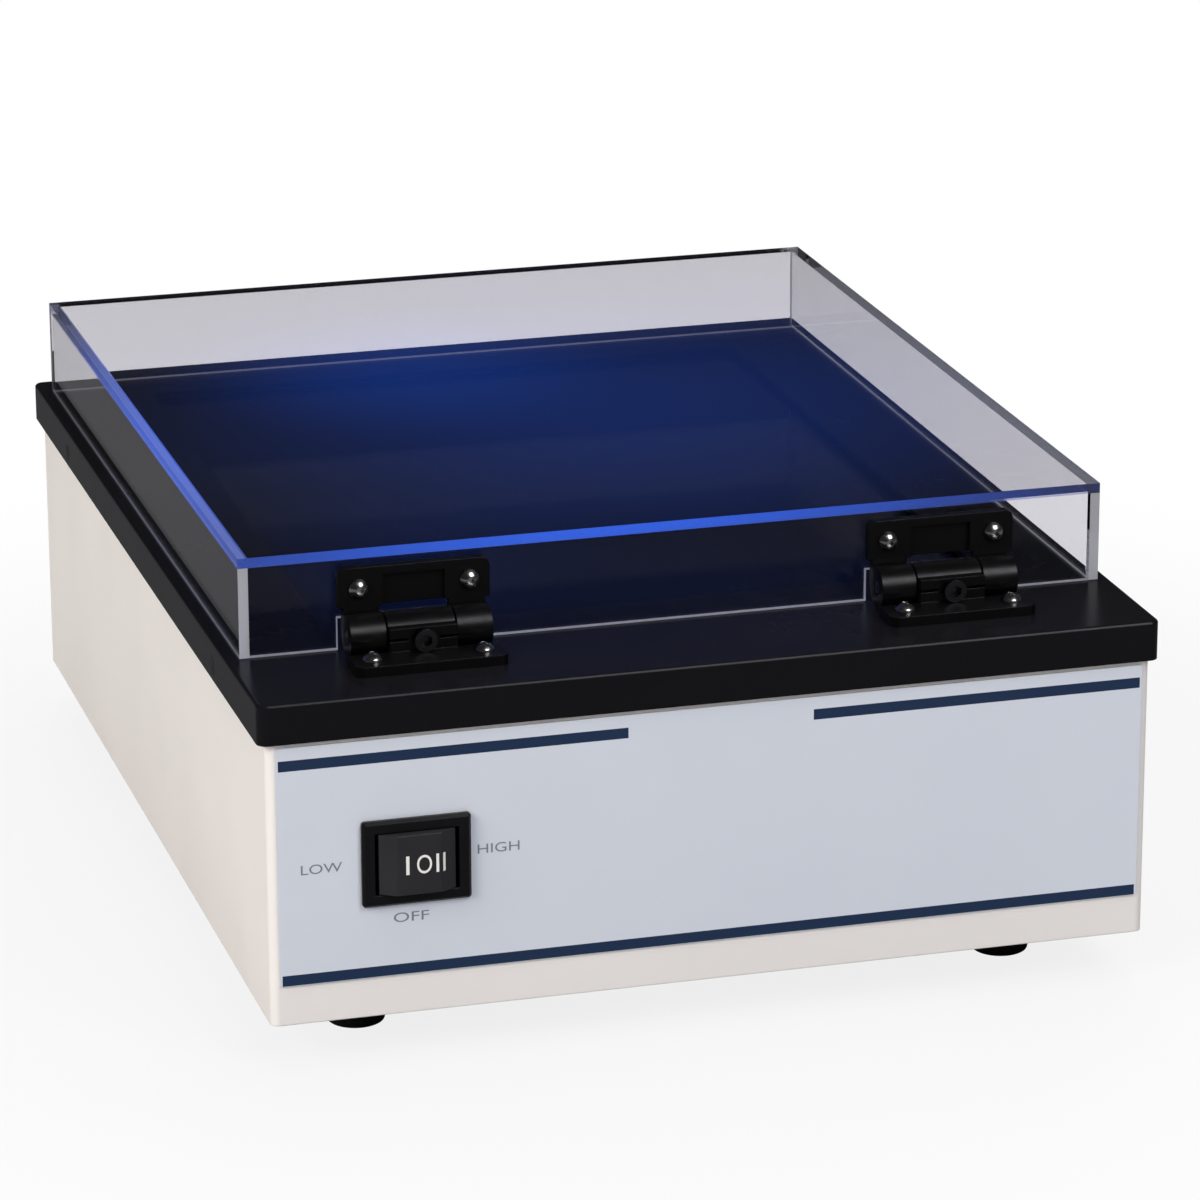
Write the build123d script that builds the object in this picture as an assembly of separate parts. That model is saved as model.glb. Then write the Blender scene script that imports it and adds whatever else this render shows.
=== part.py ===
from build123d import *
import math
import os

# Ultraviolet transilluminator for stained gels, in millimetres.
# +X is to the operator's right, +Y is to the back, +Z is up.
# The origin is on the table, at the middle of the overall width and depth.

# Black top plate: a shallow lid of sheet steel with a rim turned down all round.
plate_width = 270.0
plate_depth = 346.0
plate_sheet = 1.5
rim_height = 12.0
plate_corner = 3.0
plate_bend = 1.0
least_corner = 0.5
overhang_side = 2.4
overhang_front = 1.6
overhang_back = 2.4

# Housing: welded steel box under the plate, with inward flanges top and bottom.
housing_drop = 85.4
housing_sheet = 1.2
housing_corner = 2.5
top_flange = 13.0
bottom_flange = 12.0
foot_drop = 14.6

# Tray that closes the housing from below, lying on the bottom flange, with a lip up each side.
base_sheet = 1.2
base_lip = 9.0
base_clearance = 0.4
vent_slot_length = 34.0
vent_slot_width = 3.0
vent_slot_pitch = 8.0
vent_slots_per_row = 12
vent_row_y = 78.0

# Feet.
foot_radius = 10.0
foot_taper = 1.5
foot_inset_x = 35.0
foot_inset_y = 36.0
foot_recess_radius = 4.6
foot_recess_depth = 8.0
foot_edge_round = 1.0

# Ultraviolet pass filter under the window of the plate.
filter_width = 210.0
filter_depth = 260.0
filter_thickness = 4.0
filter_centre_from_front = 187.5
filter_lap = 4.0
gasket_thickness = 0.8
gasket_width = 3.6
window_corner = 4.0
glass_corner = 1.0
clip_sheet = 1.0
clip_width = 16.0
clip_pad = 9.0
clip_grip = 5.0
clip_gap = 0.6

# Hinged cover: five sheets of clear acrylic cemented into a shallow box.
cover_width = 262.0
cover_depth = 292.4
cover_height = 30.4
cover_front_gap = 41.4
acrylic = 3.0
cover_lift = 0.3
notch_width = 44.0
notch_height = 9.6
notch_corner = 1.5

# Adjustable friction hinge: outer knuckles on the cover leaf, one clamp knuckle on the base leaf.
hinge_spacing = 160.0
hinge_width = 45.0
leaf_thickness = 3.0
leaf_reach = 19.0
leaf_corner = 2.5
hole_reach = 12.7
hole_spacing = 32.8
pivot_offset = 6.5
knuckle_radius = 6.2
barrel_width = 42.0
clamp_width = 20.4
knuckle_gap = 0.25
leaf_clearance = 1.0
pocket_depth = 1.6
pocket_side_gap = 0.8
pocket_end_wall = 2.6
hinge_pin_radius = 2.0
hinge_pin_chamfer = 0.4
running_clearance = 0.05
seat_clearance = 0.02
lug_reach = 8.0
lug_half_height = 3.4
clamp_slit = 0.8
clamp_bridge = 1.2
adjuster_head_radius = 3.4
adjuster_head_height = 2.6
adjuster_radius = 2.0
adjuster_length = 5.0
adjuster_socket_flats = 3.2
adjuster_socket_floor = 0.8

# Metric fasteners.
m3_radius = 1.5
m3_hole = 1.65
m3_head_radius = 3.0
m3_head_height = 2.3
m3_nut_flats = 5.5
m3_nut_height = 2.4
m3_thread_end = 0.6
head_round = 0.6
flat_head_radius = 2.75
low_head_radius = 2.8
low_head_height = 1.8
lid_screw_length = 5.0
lid_screw_from_front = 60.5
lid_screw_drop = 7.4
base_screw_length = 5.0
base_screws_per_side = 3
foot_screw_length = 12.0

# Ultraviolet tubes: six T5 lamps with two-pin caps, running front to back.
tube_count = 6
tube_pitch = 33.0
tube_length = 288.0
tube_radius = 7.75
tube_centre_from_front = 184.0
cap_radius = 8.0
cap_length = 9.0
cap_pin_radius = 1.15
cap_pin_length = 6.4
cap_pin_spacing = 4.75
cap_round = 1.2

# Lamp bridge that stands on the base tray, lampholders and reflector on top of it.
bridge_drop = 38.0
bridge_sheet = 1.2
bridge_width = 236.0
bridge_depth = 314.0
bridge_foot = 10.0
bridge_corner = 2.0
lamp_rise = 14.0
holder_width = 18.0
holder_thickness = 10.5
holder_gap = 0.4
holder_pocket_radius = 4.2
holder_pocket_depth = 7.0
holder_slot = 3.0
reflector_sheet = 0.6
reflector_flat = 13.0
reflector_rise = 7.0
reflector_end_gap = 2.0
reflector_lift = 0.5

# Electronic ballasts under the bridge, one for each pair of tubes.
ballast_count = 3
ballast_pitch = 72.0
ballast_width = 40.0
ballast_length = 120.0
ballast_height = 26.0
ballast_chamfer = 3.0
ballast_ear = 9.0
ballast_ear_width = 20.0
ballast_ear_corner = 3.0
ballast_ear_sheet = 2.0
ballast_from_front = 176.0

# Three-position rocker switch in the front panel.
switch_x = -89.8
switch_drop = 50.5
bezel_width = 32.0
bezel_height = 25.8
bezel_thickness = 2.0
bezel_corner = 1.0
bezel_slope = 0.8
switch_body_width = 27.8
switch_body_height = 21.6
switch_body_depth = 22.0
panel_cut_clearance = 0.2
rocker_width = 22.4
rocker_height = 18.0
rocker_proud = 5.2
rocker_shoulder = 2.4
rocker_plateau = 13.0
rocker_pivot_depth = 3.0
rocker_side_gap = 0.35
rocker_end_gap = 1.15
rocker_pin_radius = 1.5
rocker_inner_depth = 3.0
rocker_taper = 1.2
rocker_tail_half = 2.5
rocker_tail_rise = 2.0
rocker_crest_round = 1.5
rocker_well_clearance = 3.0
rocker_pin_reach = 0.8
rocker_socket_reach = 1.0
terminal_width = 6.3
terminal_sheet = 0.8
terminal_length = 8.0
terminal_pitch = 9.0
terminal_hole_radius = 0.9
terminal_hole_reach = 4.8

# Printed film on the front panel.
overlay_width = 260.0
overlay_thickness = 0.5
overlay_top_gap = 1.4
overlay_bottom_gap = 12.0
overlay_corner = 1.0

# Mains inlet with fuse drawer, on the back panel.
inlet_x = -62.0
inlet_z = 42.0
inlet_flange_width = 50.0
inlet_flange_height = 36.0
inlet_flange_thickness = 2.0
inlet_flange_corner = 3.0
inlet_body_width = 28.0
inlet_body_height = 31.0
inlet_body_depth = 25.0
inlet_screw_spacing = 40.0
socket_width = 24.4
socket_height = 16.6
socket_depth = 17.0
socket_rise = 5.2
socket_chamfer = 3.6
blade_width = 2.0
blade_height = 4.0
blade_length = 14.0
blade_pitch = 7.0
blade_drop = 2.0
drawer_width = 22.0
drawer_height = 7.6
drawer_depth = 21.0
drawer_drop = 9.6
drawer_clearance = 0.15
drawer_wall = 1.0
drawer_face_width = 23.4
drawer_face_height = 8.8
drawer_face_recess = 1.0
drawer_grip = 0.35
drawer_grip_height = 1.6
drawer_end_gap = 0.6
fuse_radius = 2.6
fuse_length = 18.0

# Axial fan behind punched rings in the back panel.
fan_x = 62.0
fan_z = 45.0
fan_size = 50.0
fan_thickness = 15.0
fan_corner = 3.0
fan_bore_radius = 23.6
fan_hub_radius = 10.0
fan_hub_depth = 11.0
fan_blade_count = 7
fan_blade_sheet = 1.4
fan_blade_pitch_angle = 35.0
fan_tip_gap = 0.6
fan_spider_sheet = 2.0
fan_spider_radius = 11.0
fan_strut = 3.0
fan_hole_pitch = 40.0
fan_running_gap = 0.7
fan_shaft_radius = 1.5
fan_blade_inset = 0.6
fan_blade_root = 1.0
fan_screw_short = 2.0
ring_spoke_angle = 45.0
ring_slot = 3.2
ring_rib = 1.6
ring_count = 4
ring_first_radius = 5.2
ring_spoke = 3.2

# Small pieces on the base tray.
terminal_block_width = 42.0
terminal_block_depth = 17.0
terminal_block_height = 15.0
terminal_block_ways = 4
terminal_block_rib = 2.8
terminal_block_well = 3.0
terminal_block_x = -30.0
terminal_block_from_back = 52.0
earth_stud_x = -84.0
earth_stud_from_back = 42.0
earth_stud_radius = 2.0
earth_stud_height = 14.0
earth_nut_flats = 7.0
earth_nut_height = 3.2

# Places that follow from the sizes above.
front_reach = rocker_proud - overhang_front
plate_front = (front_reach - plate_depth) / 2
plate_back = plate_front + plate_depth
panel_front = plate_front + overhang_front
panel_back = plate_back - overhang_back
housing_width = plate_width - 2 * overhang_side
housing_depth = panel_back - panel_front
housing_mid = (panel_front + panel_back) / 2
inner_back = panel_back - housing_sheet
housing_bottom = foot_drop
rim_bottom = housing_bottom + housing_drop
plate_top = rim_bottom + rim_height
plate_under = plate_top - plate_sheet
plate_mid = (plate_front + plate_back) / 2
base_under = housing_bottom + housing_sheet
base_top = base_under + base_sheet
filter_mid = plate_front + filter_centre_from_front
filter_top = plate_under - gasket_thickness
filter_under = filter_top - filter_thickness
window_width = filter_width - 2 * filter_lap
window_depth = filter_depth - 2 * filter_lap
cover_front = plate_front + cover_front_gap
cover_back = cover_front + cover_depth
cover_top = plate_top + cover_height
cover_foot = plate_top + cover_lift
pivot_y = cover_front - pivot_offset
pivot_z = plate_top + pivot_offset
tube_mid = plate_front + tube_centre_from_front
bridge_top = plate_top - bridge_drop
lamp_z = bridge_top + lamp_rise
switch_z = plate_top - switch_drop
rocker_pivot_y = panel_front + rocker_pivot_depth
fan_front = inner_back - fan_thickness
ballast_mid = plate_front + ballast_from_front


def block(x0, x1, y0, y1, z0, z1):
    """Box between six limits."""
    return Pos((x0 + x1) / 2, (y0 + y1) / 2, (z0 + z1) / 2) * Box(x1 - x0, y1 - y0, z1 - z0)


def slab(width, depth, corner, x, y, z0, z1):
    """Flat plate with rounded corners, between two heights."""
    outline = RectangleRounded(width, depth, corner)
    return Pos(x, y, z0) * extrude(outline, z1 - z0)


def rod(radius, start, direction, length):
    """Round bar from a start point along a direction."""
    align = (Align.CENTER, Align.CENTER, Align.MIN)
    return Plane(origin=start, z_dir=direction) * Cylinder(radius, length, align=align)


def hexagon(flats, start, direction, length):
    """Hexagonal bar from a start point along a direction."""
    outline = RegularPolygon(flats / 2, 6, major_radius=False)
    return Plane(origin=start, z_dir=direction) * extrude(outline, length)


def pan_screw(seat, outward, head_radius, head_height, length):
    """Screw with a domed head that sits on its seat point and a shank that goes inward."""
    head = Cylinder(head_radius, head_height, align=(Align.CENTER, Align.CENTER, Align.MIN))
    rim = head.edges().sort_by(Axis.Z)[-1]
    head = fillet(rim, head_height * head_round)
    shank = Pos(0, 0, -length) * Cylinder(m3_radius, length, align=(Align.CENTER, Align.CENTER, Align.MIN))
    return Plane(origin=seat, z_dir=outward) * (head + shank)


def flat_screw(seat, outward, head_radius, length):
    """Countersunk screw whose head is flush with its seat point."""
    depth = head_radius - m3_radius
    cone = Pos(0, 0, -depth / 2) * Cone(m3_radius, head_radius, depth)
    shank = Pos(0, 0, -length) * Cylinder(m3_radius, length, align=(Align.CENTER, Align.CENTER, Align.MIN))
    return Plane(origin=seat, z_dir=outward) * (cone + shank)


def countersink(seat, outward, head_radius, hole_radius, length):
    """Cutter for a countersunk hole, flush at its seat point."""
    reach = head_radius + seat_clearance
    depth = reach - hole_radius
    cone = Pos(0, 0, -depth / 2) * Cone(hole_radius, reach, depth)
    shank = Pos(0, 0, -length) * Cylinder(hole_radius, length, align=(Align.CENTER, Align.CENTER, Align.MIN))
    return Plane(origin=seat, z_dir=outward) * (cone + shank)


def nut(flats, height, hole_radius, seat, outward):
    """Hexagon nut that sits on its seat point, with its bore along the outward direction."""
    body = hexagon(flats, seat, outward, height)
    return body - rod(hole_radius, seat, outward, height)


def group(solids):
    """Separate solids kept together in one node."""
    return Compound(children=list(solids))


def save(shape, node):
    """Write one node."""
    export_step(shape, f"parts/{node}.step")


def lid_screw_places():
    """Seat point and outward direction of each side screw in the rim."""
    z = plate_top - lid_screw_drop
    near = plate_front + lid_screw_from_front
    far = plate_back - lid_screw_from_front
    return [((side * plate_width / 2, y, z), (side, 0, 0)) for side in (-1, 1) for y in (near, far)]


def hinge_centres():
    """Middle of each hinge along the width."""
    return (-hinge_spacing / 2, hinge_spacing / 2)


def hinge_hole_xs():
    """Across-the-width place of every hinge screw."""
    return [x + side * hole_spacing / 2 for x in hinge_centres() for side in (-1, 1)]


def clip_places():
    """Middle of each filter clip's edge and the direction that points away from the glass."""
    places = []
    for side in (-1, 1):
        for y in (-filter_depth / 4, filter_depth / 4):
            places.append(((side * filter_width / 2, filter_mid + y), side * 90))
        end = 0 if side < 0 else 180
        places.append(((0, filter_mid + side * filter_depth / 2), end))
    return places


def top_plate():
    """Black lid plate with its window, rim, hinge holes and weld studs for the clips."""
    body = slab(plate_width, plate_depth, plate_corner, 0, plate_mid, rim_bottom, plate_top)
    body = fillet(body.faces().sort_by(Axis.Z)[-1].edges(), plate_bend)
    hollow_corner = max(plate_corner - plate_sheet, least_corner)
    hollow_width = plate_width - 2 * plate_sheet
    hollow_depth = plate_depth - 2 * plate_sheet
    body -= slab(hollow_width, hollow_depth, hollow_corner, 0, plate_mid, rim_bottom, plate_under)
    body -= slab(window_width, window_depth, window_corner, 0, filter_mid, plate_under, plate_top)
    for x in hinge_hole_xs():
        body -= rod(m3_hole, (x, pivot_y - hole_reach, plate_under), (0, 0, 1), plate_sheet)
    for seat, outward in lid_screw_places():
        body -= countersink(seat, outward, flat_head_radius, m3_hole, 2 * plate_sheet)
    stud_length = clip_sheet + m3_nut_height + 1
    for (x, y), angle in clip_places():
        stud_x, stud_y = clip_stud(x, y, angle)
        body += rod(m3_radius, (stud_x, stud_y, plate_under), (0, 0, -1), stud_length)
    return body


def clip_stud(x, y, angle):
    """Middle of the clip's pad, where its stud comes through."""
    reach = clip_gap + clip_sheet + clip_pad / 2
    direction = Vector(0, -1, 0).rotate(Axis.Z, angle)
    return x + direction.X * reach, y + direction.Y * reach


def filter_glass():
    """Ultraviolet pass filter."""
    return slab(filter_width, filter_depth, glass_corner, 0, filter_mid, filter_under, filter_top)


def filter_gasket():
    """Soft strip between the glass and the plate, round the window."""
    outer = slab(filter_width, filter_depth, glass_corner, 0, filter_mid, filter_top, plate_under)
    inner_width = filter_width - 2 * gasket_width
    inner_depth = filter_depth - 2 * gasket_width
    return outer - slab(inner_width, inner_depth, glass_corner, 0, filter_mid, filter_top, plate_under)


def filter_clip(x, y, angle):
    """Folded clip: a pad under the plate, a drop beside the glass and a lip under the glass."""
    drop = plate_under - filter_under + clip_sheet
    far = -(clip_gap + clip_sheet + clip_pad)
    near = -clip_gap
    points = [
        (far, 0), (near, 0), (near, -drop + clip_sheet), (clip_grip, -drop + clip_sheet),
        (clip_grip, -drop), (near - clip_sheet, -drop), (near - clip_sheet, -clip_sheet), (far, -clip_sheet),
    ]
    profile = make_face(Polyline(*points, close=True))
    strip = extrude(Plane.YZ * profile, clip_width / 2, both=True)
    strip -= rod(m3_hole, (0, far + clip_pad / 2, -clip_sheet), (0, 0, 1), clip_sheet)
    return Pos(x, y, plate_under) * Rot(0, 0, angle) * strip


def filter_clips():
    """All six filter clips."""
    return group(filter_clip(x, y, angle) for (x, y), angle in clip_places())


def grille_rings():
    """Cutter for the punched rings in front of the fan, left whole along four spokes."""
    cutters = []
    for index in range(ring_count):
        inner = ring_first_radius + index * (ring_slot + ring_rib)
        outer = inner + ring_slot
        ring = Circle(outer) - Circle(inner)
        ring -= Rectangle(ring_spoke, 2 * outer)
        ring -= Rectangle(2 * outer, ring_spoke)
        cutters.append(extrude(ring, 2 * housing_sheet, both=True))
    place = Pos(fan_x, panel_back, fan_z) * Rot(90, 0, 0) * Rot(0, 0, ring_spoke_angle)
    return [place * cutter for cutter in cutters]


def fan_hole_places():
    """Across and up places of the fan's four screws."""
    half = fan_hole_pitch / 2
    return [(fan_x + i * half, fan_z + k * half) for i in (-1, 1) for k in (-1, 1)]


def inlet_hole_xs():
    """Across places of the inlet's two screws."""
    return [inlet_x - inlet_screw_spacing / 2, inlet_x + inlet_screw_spacing / 2]


def base_screw_places():
    """Under-side place of each screw that holds the base tray to the bottom flange."""
    x = housing_width / 2 - housing_sheet - bottom_flange / 2
    reach = housing_depth / 2 - bottom_flange * 2
    step = 2 * reach / (base_screws_per_side - 1)
    return [(i * x, housing_mid - reach + k * step) for i in (-1, 1) for k in range(base_screws_per_side)]


def housing_shell():
    """Four walls with inward flanges at the top and bottom and the cut-outs for what they carry."""
    height = plate_under - housing_bottom
    body = slab(housing_width, housing_depth, housing_corner, 0, housing_mid, housing_bottom, plate_under)
    inner_width = housing_width - 2 * housing_sheet
    inner_depth = housing_depth - 2 * housing_sheet
    inner_corner = max(housing_corner - housing_sheet, least_corner)
    z0 = housing_bottom + housing_sheet
    z1 = housing_bottom + height - housing_sheet
    body -= slab(inner_width, inner_depth, inner_corner, 0, housing_mid, z0, z1)
    mouth_width = inner_width - 2 * top_flange
    mouth_depth = inner_depth - 2 * top_flange
    body -= slab(mouth_width, mouth_depth, 2 * housing_corner, 0, housing_mid, z1, plate_under)
    floor_width = inner_width - 2 * bottom_flange
    floor_depth = inner_depth - 2 * bottom_flange
    body -= slab(floor_width, floor_depth, 2 * housing_corner, 0, housing_mid, housing_bottom, z0)
    cut_width = switch_body_width + 2 * panel_cut_clearance
    cut_height = switch_body_height + 2 * panel_cut_clearance
    body -= Pos(switch_x, panel_front, switch_z) * Box(cut_width, 4 * housing_sheet, cut_height)
    inlet_cut_width = inlet_body_width + 2 * panel_cut_clearance
    inlet_cut_height = inlet_body_height + 2 * panel_cut_clearance
    body -= Pos(inlet_x, panel_back, inlet_z) * Box(inlet_cut_width, 4 * housing_sheet, inlet_cut_height)
    for x in inlet_hole_xs():
        body -= rod(m3_hole, (x, inner_back, inlet_z), (0, 1, 0), housing_sheet)
    for x, z in fan_hole_places():
        body -= rod(m3_hole, (x, inner_back, z), (0, 1, 0), housing_sheet)
    for cutter in grille_rings():
        body -= cutter
    for (x, y, z), outward in lid_screw_places():
        side = outward[0]
        start = (side * (housing_width / 2 - housing_sheet), y, z)
        body -= rod(m3_hole, start, outward, housing_sheet)
    for x, y in base_screw_places():
        body -= rod(m3_hole, (x, y, housing_bottom), (0, 0, 1), housing_sheet)
    return body


def foot_places():
    """Middle of each foot."""
    x = plate_width / 2 - foot_inset_x
    near = plate_front + foot_inset_y
    far = plate_back - foot_inset_y
    return [(-x, near), (x, near), (-x, far), (x, far)]


def ballast_xs():
    """Middle of each ballast across the width."""
    middle = (ballast_count - 1) / 2
    return [(index - middle) * ballast_pitch for index in range(ballast_count)]


def ballast_hole_ys():
    """Depth places of the two screws of a ballast."""
    reach = ballast_length / 2 + ballast_ear / 2
    return [ballast_mid - reach, ballast_mid + reach]


def bridge_hole_places():
    """Places of the screws in the feet of the lamp bridge."""
    x = bridge_width / 2 - bridge_foot / 2
    reach = bridge_depth / 2 - bridge_foot
    return [(i * x, tube_mid + k * reach) for i in (-1, 1) for k in (-1, 1)]


def base_tray():
    """Tray with a lip turned up at each side, cooling slots and the holes for what stands on it."""
    clearance = housing_sheet + base_clearance
    width = housing_width - 2 * clearance
    depth = housing_depth - 2 * clearance
    body = slab(width, depth, housing_corner, 0, housing_mid, base_under, base_top + base_lip)
    inner = width / 2 - base_sheet
    body -= block(-inner, inner, panel_front, panel_back, base_top, base_top + base_lip)
    slot = extrude(SlotOverall(vent_slot_length, vent_slot_width), 4 * base_sheet, both=True)
    middle = (vent_slots_per_row - 1) / 2
    for row_y in (plate_front + vent_row_y, plate_back - vent_row_y):
        for index in range(vent_slots_per_row):
            x = (index - middle) * vent_slot_pitch
            body -= Pos(x, row_y, base_under) * Rot(0, 0, 90) * slot
    for x, y in foot_places():
        body -= rod(m3_hole, (x, y, base_under), (0, 0, 1), base_sheet)
    for x, y in base_screw_places():
        body -= rod(m3_radius + seat_clearance, (x, y, base_under), (0, 0, 1), base_sheet)
    for x in ballast_xs():
        for y in ballast_hole_ys():
            body -= rod(m3_radius + seat_clearance, (x, y, base_under), (0, 0, 1), base_sheet)
    for x, y in bridge_hole_places():
        body -= rod(m3_radius + seat_clearance, (x, y, base_under), (0, 0, 1), base_sheet)
    earth_y = plate_back - earth_stud_from_back
    stud_seat = (earth_stud_x, earth_y, base_under)
    body -= rod(earth_stud_radius + seat_clearance, stud_seat, (0, 0, 1), base_sheet)
    return body


def foot(x, y):
    """Tapered rubber foot with a deep recess for its screw."""
    height = base_under
    lower = foot_radius - foot_taper
    body = Pos(0, 0, height / 2) * Cone(lower, foot_radius, height)
    body = fillet(body.edges().sort_by(Axis.Z)[0], foot_edge_round)
    body -= Cylinder(foot_recess_radius, foot_recess_depth, align=(Align.CENTER, Align.CENTER, Align.MIN))
    body -= Cylinder(m3_hole, height, align=(Align.CENTER, Align.CENTER, Align.MIN))
    return Pos(x, y, 0) * body


def foot_screws():
    """Screw through each foot into the base tray."""
    seats = [(x, y, foot_recess_depth) for x, y in foot_places()]
    down = (0, 0, -1)
    return group(pan_screw(seat, down, m3_head_radius, m3_head_height, foot_screw_length) for seat in seats)


def base_screws():
    """Screws through the bottom flange into the base tray."""
    seats = [(x, y, housing_bottom) for x, y in base_screw_places()]
    down = (0, 0, -1)
    return group(pan_screw(seat, down, low_head_radius, low_head_height, base_screw_length) for seat in seats)


def lid_screws():
    """Countersunk screws through the rim into the housing."""
    places = lid_screw_places()
    return group(flat_screw(seat, outward, flat_head_radius, lid_screw_length) for seat, outward in places)


def front_overlay():
    """Printed film on the front panel, cut out round the switch."""
    low = housing_bottom + overlay_bottom_gap
    high = rim_bottom - overlay_top_gap
    outline = RectangleRounded(overlay_width, high - low, overlay_corner)
    film = extrude(outline, overlay_thickness)
    body = Pos(0, panel_front, (low + high) / 2) * Rot(90, 0, 0) * film
    cut_width = switch_body_width + 2 * panel_cut_clearance
    cut_height = switch_body_height + 2 * panel_cut_clearance
    return body - Pos(switch_x, panel_front, switch_z) * Box(cut_width, 4 * overlay_thickness, cut_height)


def bezel_face():
    """Depth place of the overlay's face, where the switch bezel sits."""
    return panel_front - overlay_thickness


def switch_housing():
    """Moulded switch body with a bezel, a well for the rocker and two pivot sockets."""
    bezel = Pos(switch_x, bezel_face(), switch_z) * Rot(90, 0, 0) * extrude(
        RectangleRounded(bezel_width, bezel_height, bezel_corner), bezel_thickness)
    outer_edges = bezel.faces().sort_by(Axis.Y)[0].edges()
    bezel = chamfer(outer_edges, bezel_slope)
    back = panel_front + switch_body_depth
    body = block(
        switch_x - switch_body_width / 2, switch_x + switch_body_width / 2, bezel_face(), back,
        switch_z - switch_body_height / 2, switch_z + switch_body_height / 2)
    whole = bezel + body
    well_height = rocker_height + 2 * rocker_side_gap
    well_half = rocker_width / 2 + rocker_end_gap
    well_back = rocker_pivot_y + rocker_inner_depth + rocker_well_clearance
    well = block(
        switch_x - well_half, switch_x + well_half, bezel_face() - bezel_thickness, well_back,
        switch_z - well_height / 2, switch_z + well_height / 2)
    whole -= well
    socket_length = well_height + 2 * rocker_socket_reach
    start = (switch_x, rocker_pivot_y, switch_z - socket_length / 2)
    whole -= rod(rocker_pin_radius + running_clearance, start, (0, 0, 1), socket_length)
    return whole


def rocker():
    """Rocker with a raised flat in the middle, sloping ends and a pivot pin through it."""
    crest = rocker_pivot_depth + rocker_proud
    shoulder = rocker_pivot_depth + rocker_shoulder
    half = rocker_width / 2
    tail = rocker_inner_depth
    edge = tail - rocker_tail_rise
    back_half = half - rocker_taper
    keel = rocker_tail_half
    ridge = rocker_plateau / 2
    right = [(ridge, -crest), (half, -shoulder), (half, -rocker_pivot_depth), (back_half, edge), (keel, tail)]
    left = [(-x, y) for x, y in reversed(right)]
    face = make_face(Polyline(*right, *left, close=True))
    body = extrude(face, rocker_height / 2, both=True)
    crest_edges = body.edges().filter_by(Axis.Z).group_by(Axis.Y)[0]
    body = fillet(crest_edges, rocker_crest_round)
    pin_length = rocker_height + 2 * (rocker_side_gap + rocker_pin_reach)
    body += Cylinder(rocker_pin_radius, pin_length)
    return Pos(switch_x, rocker_pivot_y, switch_z) * body


def switch_terminals():
    """Three blade terminals on the back of the switch."""
    back = panel_front + switch_body_depth
    blades = []
    for index in (-1, 0, 1):
        x = switch_x + index * terminal_pitch
        blade = block(
            x - terminal_sheet / 2, x + terminal_sheet / 2, back, back + terminal_length,
            switch_z - terminal_width / 2, switch_z + terminal_width / 2)
        hole_start = (x - terminal_sheet, back + terminal_hole_reach, switch_z)
        blades.append(blade - rod(terminal_hole_radius, hole_start, (1, 0, 0), 2 * terminal_sheet))
    return group(blades)


def cover_sheet_top():
    """Top sheet, lying over all four walls."""
    return block(
        -cover_width / 2, cover_width / 2, cover_front, cover_back, cover_top - acrylic, cover_top)


def cover_sheet_side(side):
    """Side wall, full depth."""
    outer = side * cover_width / 2
    inner = outer - side * acrylic
    return block(
        min(outer, inner), max(outer, inner), cover_front, cover_back, cover_foot, cover_top - acrylic)


def cover_sheet_back():
    """Back wall, between the side walls."""
    half = cover_width / 2 - acrylic
    return block(-half, half, cover_back - acrylic, cover_back, cover_foot, cover_top - acrylic)


def cover_sheet_front():
    """Front wall, with a notch and two screw holes for each hinge."""
    half = cover_width / 2 - acrylic
    body = block(-half, half, cover_front, cover_front + acrylic, cover_foot, cover_top - acrylic)
    for x in hinge_centres():
        outline = RectangleRounded(notch_width, 2 * notch_height, notch_corner)
        notch = extrude(outline, 4 * acrylic, both=True)
        body -= Pos(x, cover_front, plate_top) * Rot(90, 0, 0) * notch
    for x in hinge_hole_xs():
        body -= rod(m3_hole, (x, cover_front, pivot_z + hole_reach), (0, 1, 0), acrylic)
    return body


def profile_solid(face, x0, x1):
    """Solid of a profile drawn in the depth and height directions about the hinge pivot."""
    depth = x1 - x0
    return Pos(x0, pivot_y, pivot_z) * extrude(Plane.YZ * face, depth)


def limit_face(y0, y1, z0, z1):
    """Rectangle between four limits, drawn about the hinge pivot."""
    return Pos((y0 + y1) / 2, (z0 + z1) / 2) * Rectangle(y1 - y0, z1 - z0)


def hinge_base(x):
    """Base leaf with its clamp knuckle, split by a slit that the adjusting screw closes."""
    under = -pivot_offset
    upper = under + leaf_thickness
    edge = -(knuckle_radius + leaf_clearance)
    plate = limit_face(-leaf_reach, edge, under, upper)
    leaf = profile_solid(plate, x - hinge_width / 2, x + hinge_width / 2)
    corners = leaf.edges().filter_by(Axis.Z).group_by(Axis.Y)[0]
    leaf = fillet(corners, leaf_corner)
    half = clamp_width / 2 - knuckle_gap
    stem = limit_face(edge - 1, 0, under, upper)
    lug = limit_face(-lug_reach, 0, upper, lug_half_height)
    knuckle = Circle(knuckle_radius) + stem + lug
    body = leaf + profile_solid(knuckle, x - half, x + half)
    bore_start = (x - hinge_width, pivot_y, pivot_z)
    body -= rod(hinge_pin_radius + seat_clearance, bore_start, (1, 0, 0), 2 * hinge_width)
    slit = limit_face(-lug_reach, 0, -clamp_slit / 2, clamp_slit / 2)
    body -= profile_solid(slit, x - half, x - adjuster_head_radius - clamp_bridge)
    body -= profile_solid(slit, x + adjuster_head_radius + clamp_bridge, x + half)
    screw_start = (x, pivot_y - lug_reach, pivot_z)
    body -= rod(adjuster_radius + seat_clearance, screw_start, (0, 1, 0), adjuster_length)
    for side in (-1, 1):
        hole = (x + side * hole_spacing / 2, pivot_y - hole_reach, pivot_z + under)
        body -= rod(m3_hole, hole, (0, 0, 1), leaf_thickness)
    return body


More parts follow.
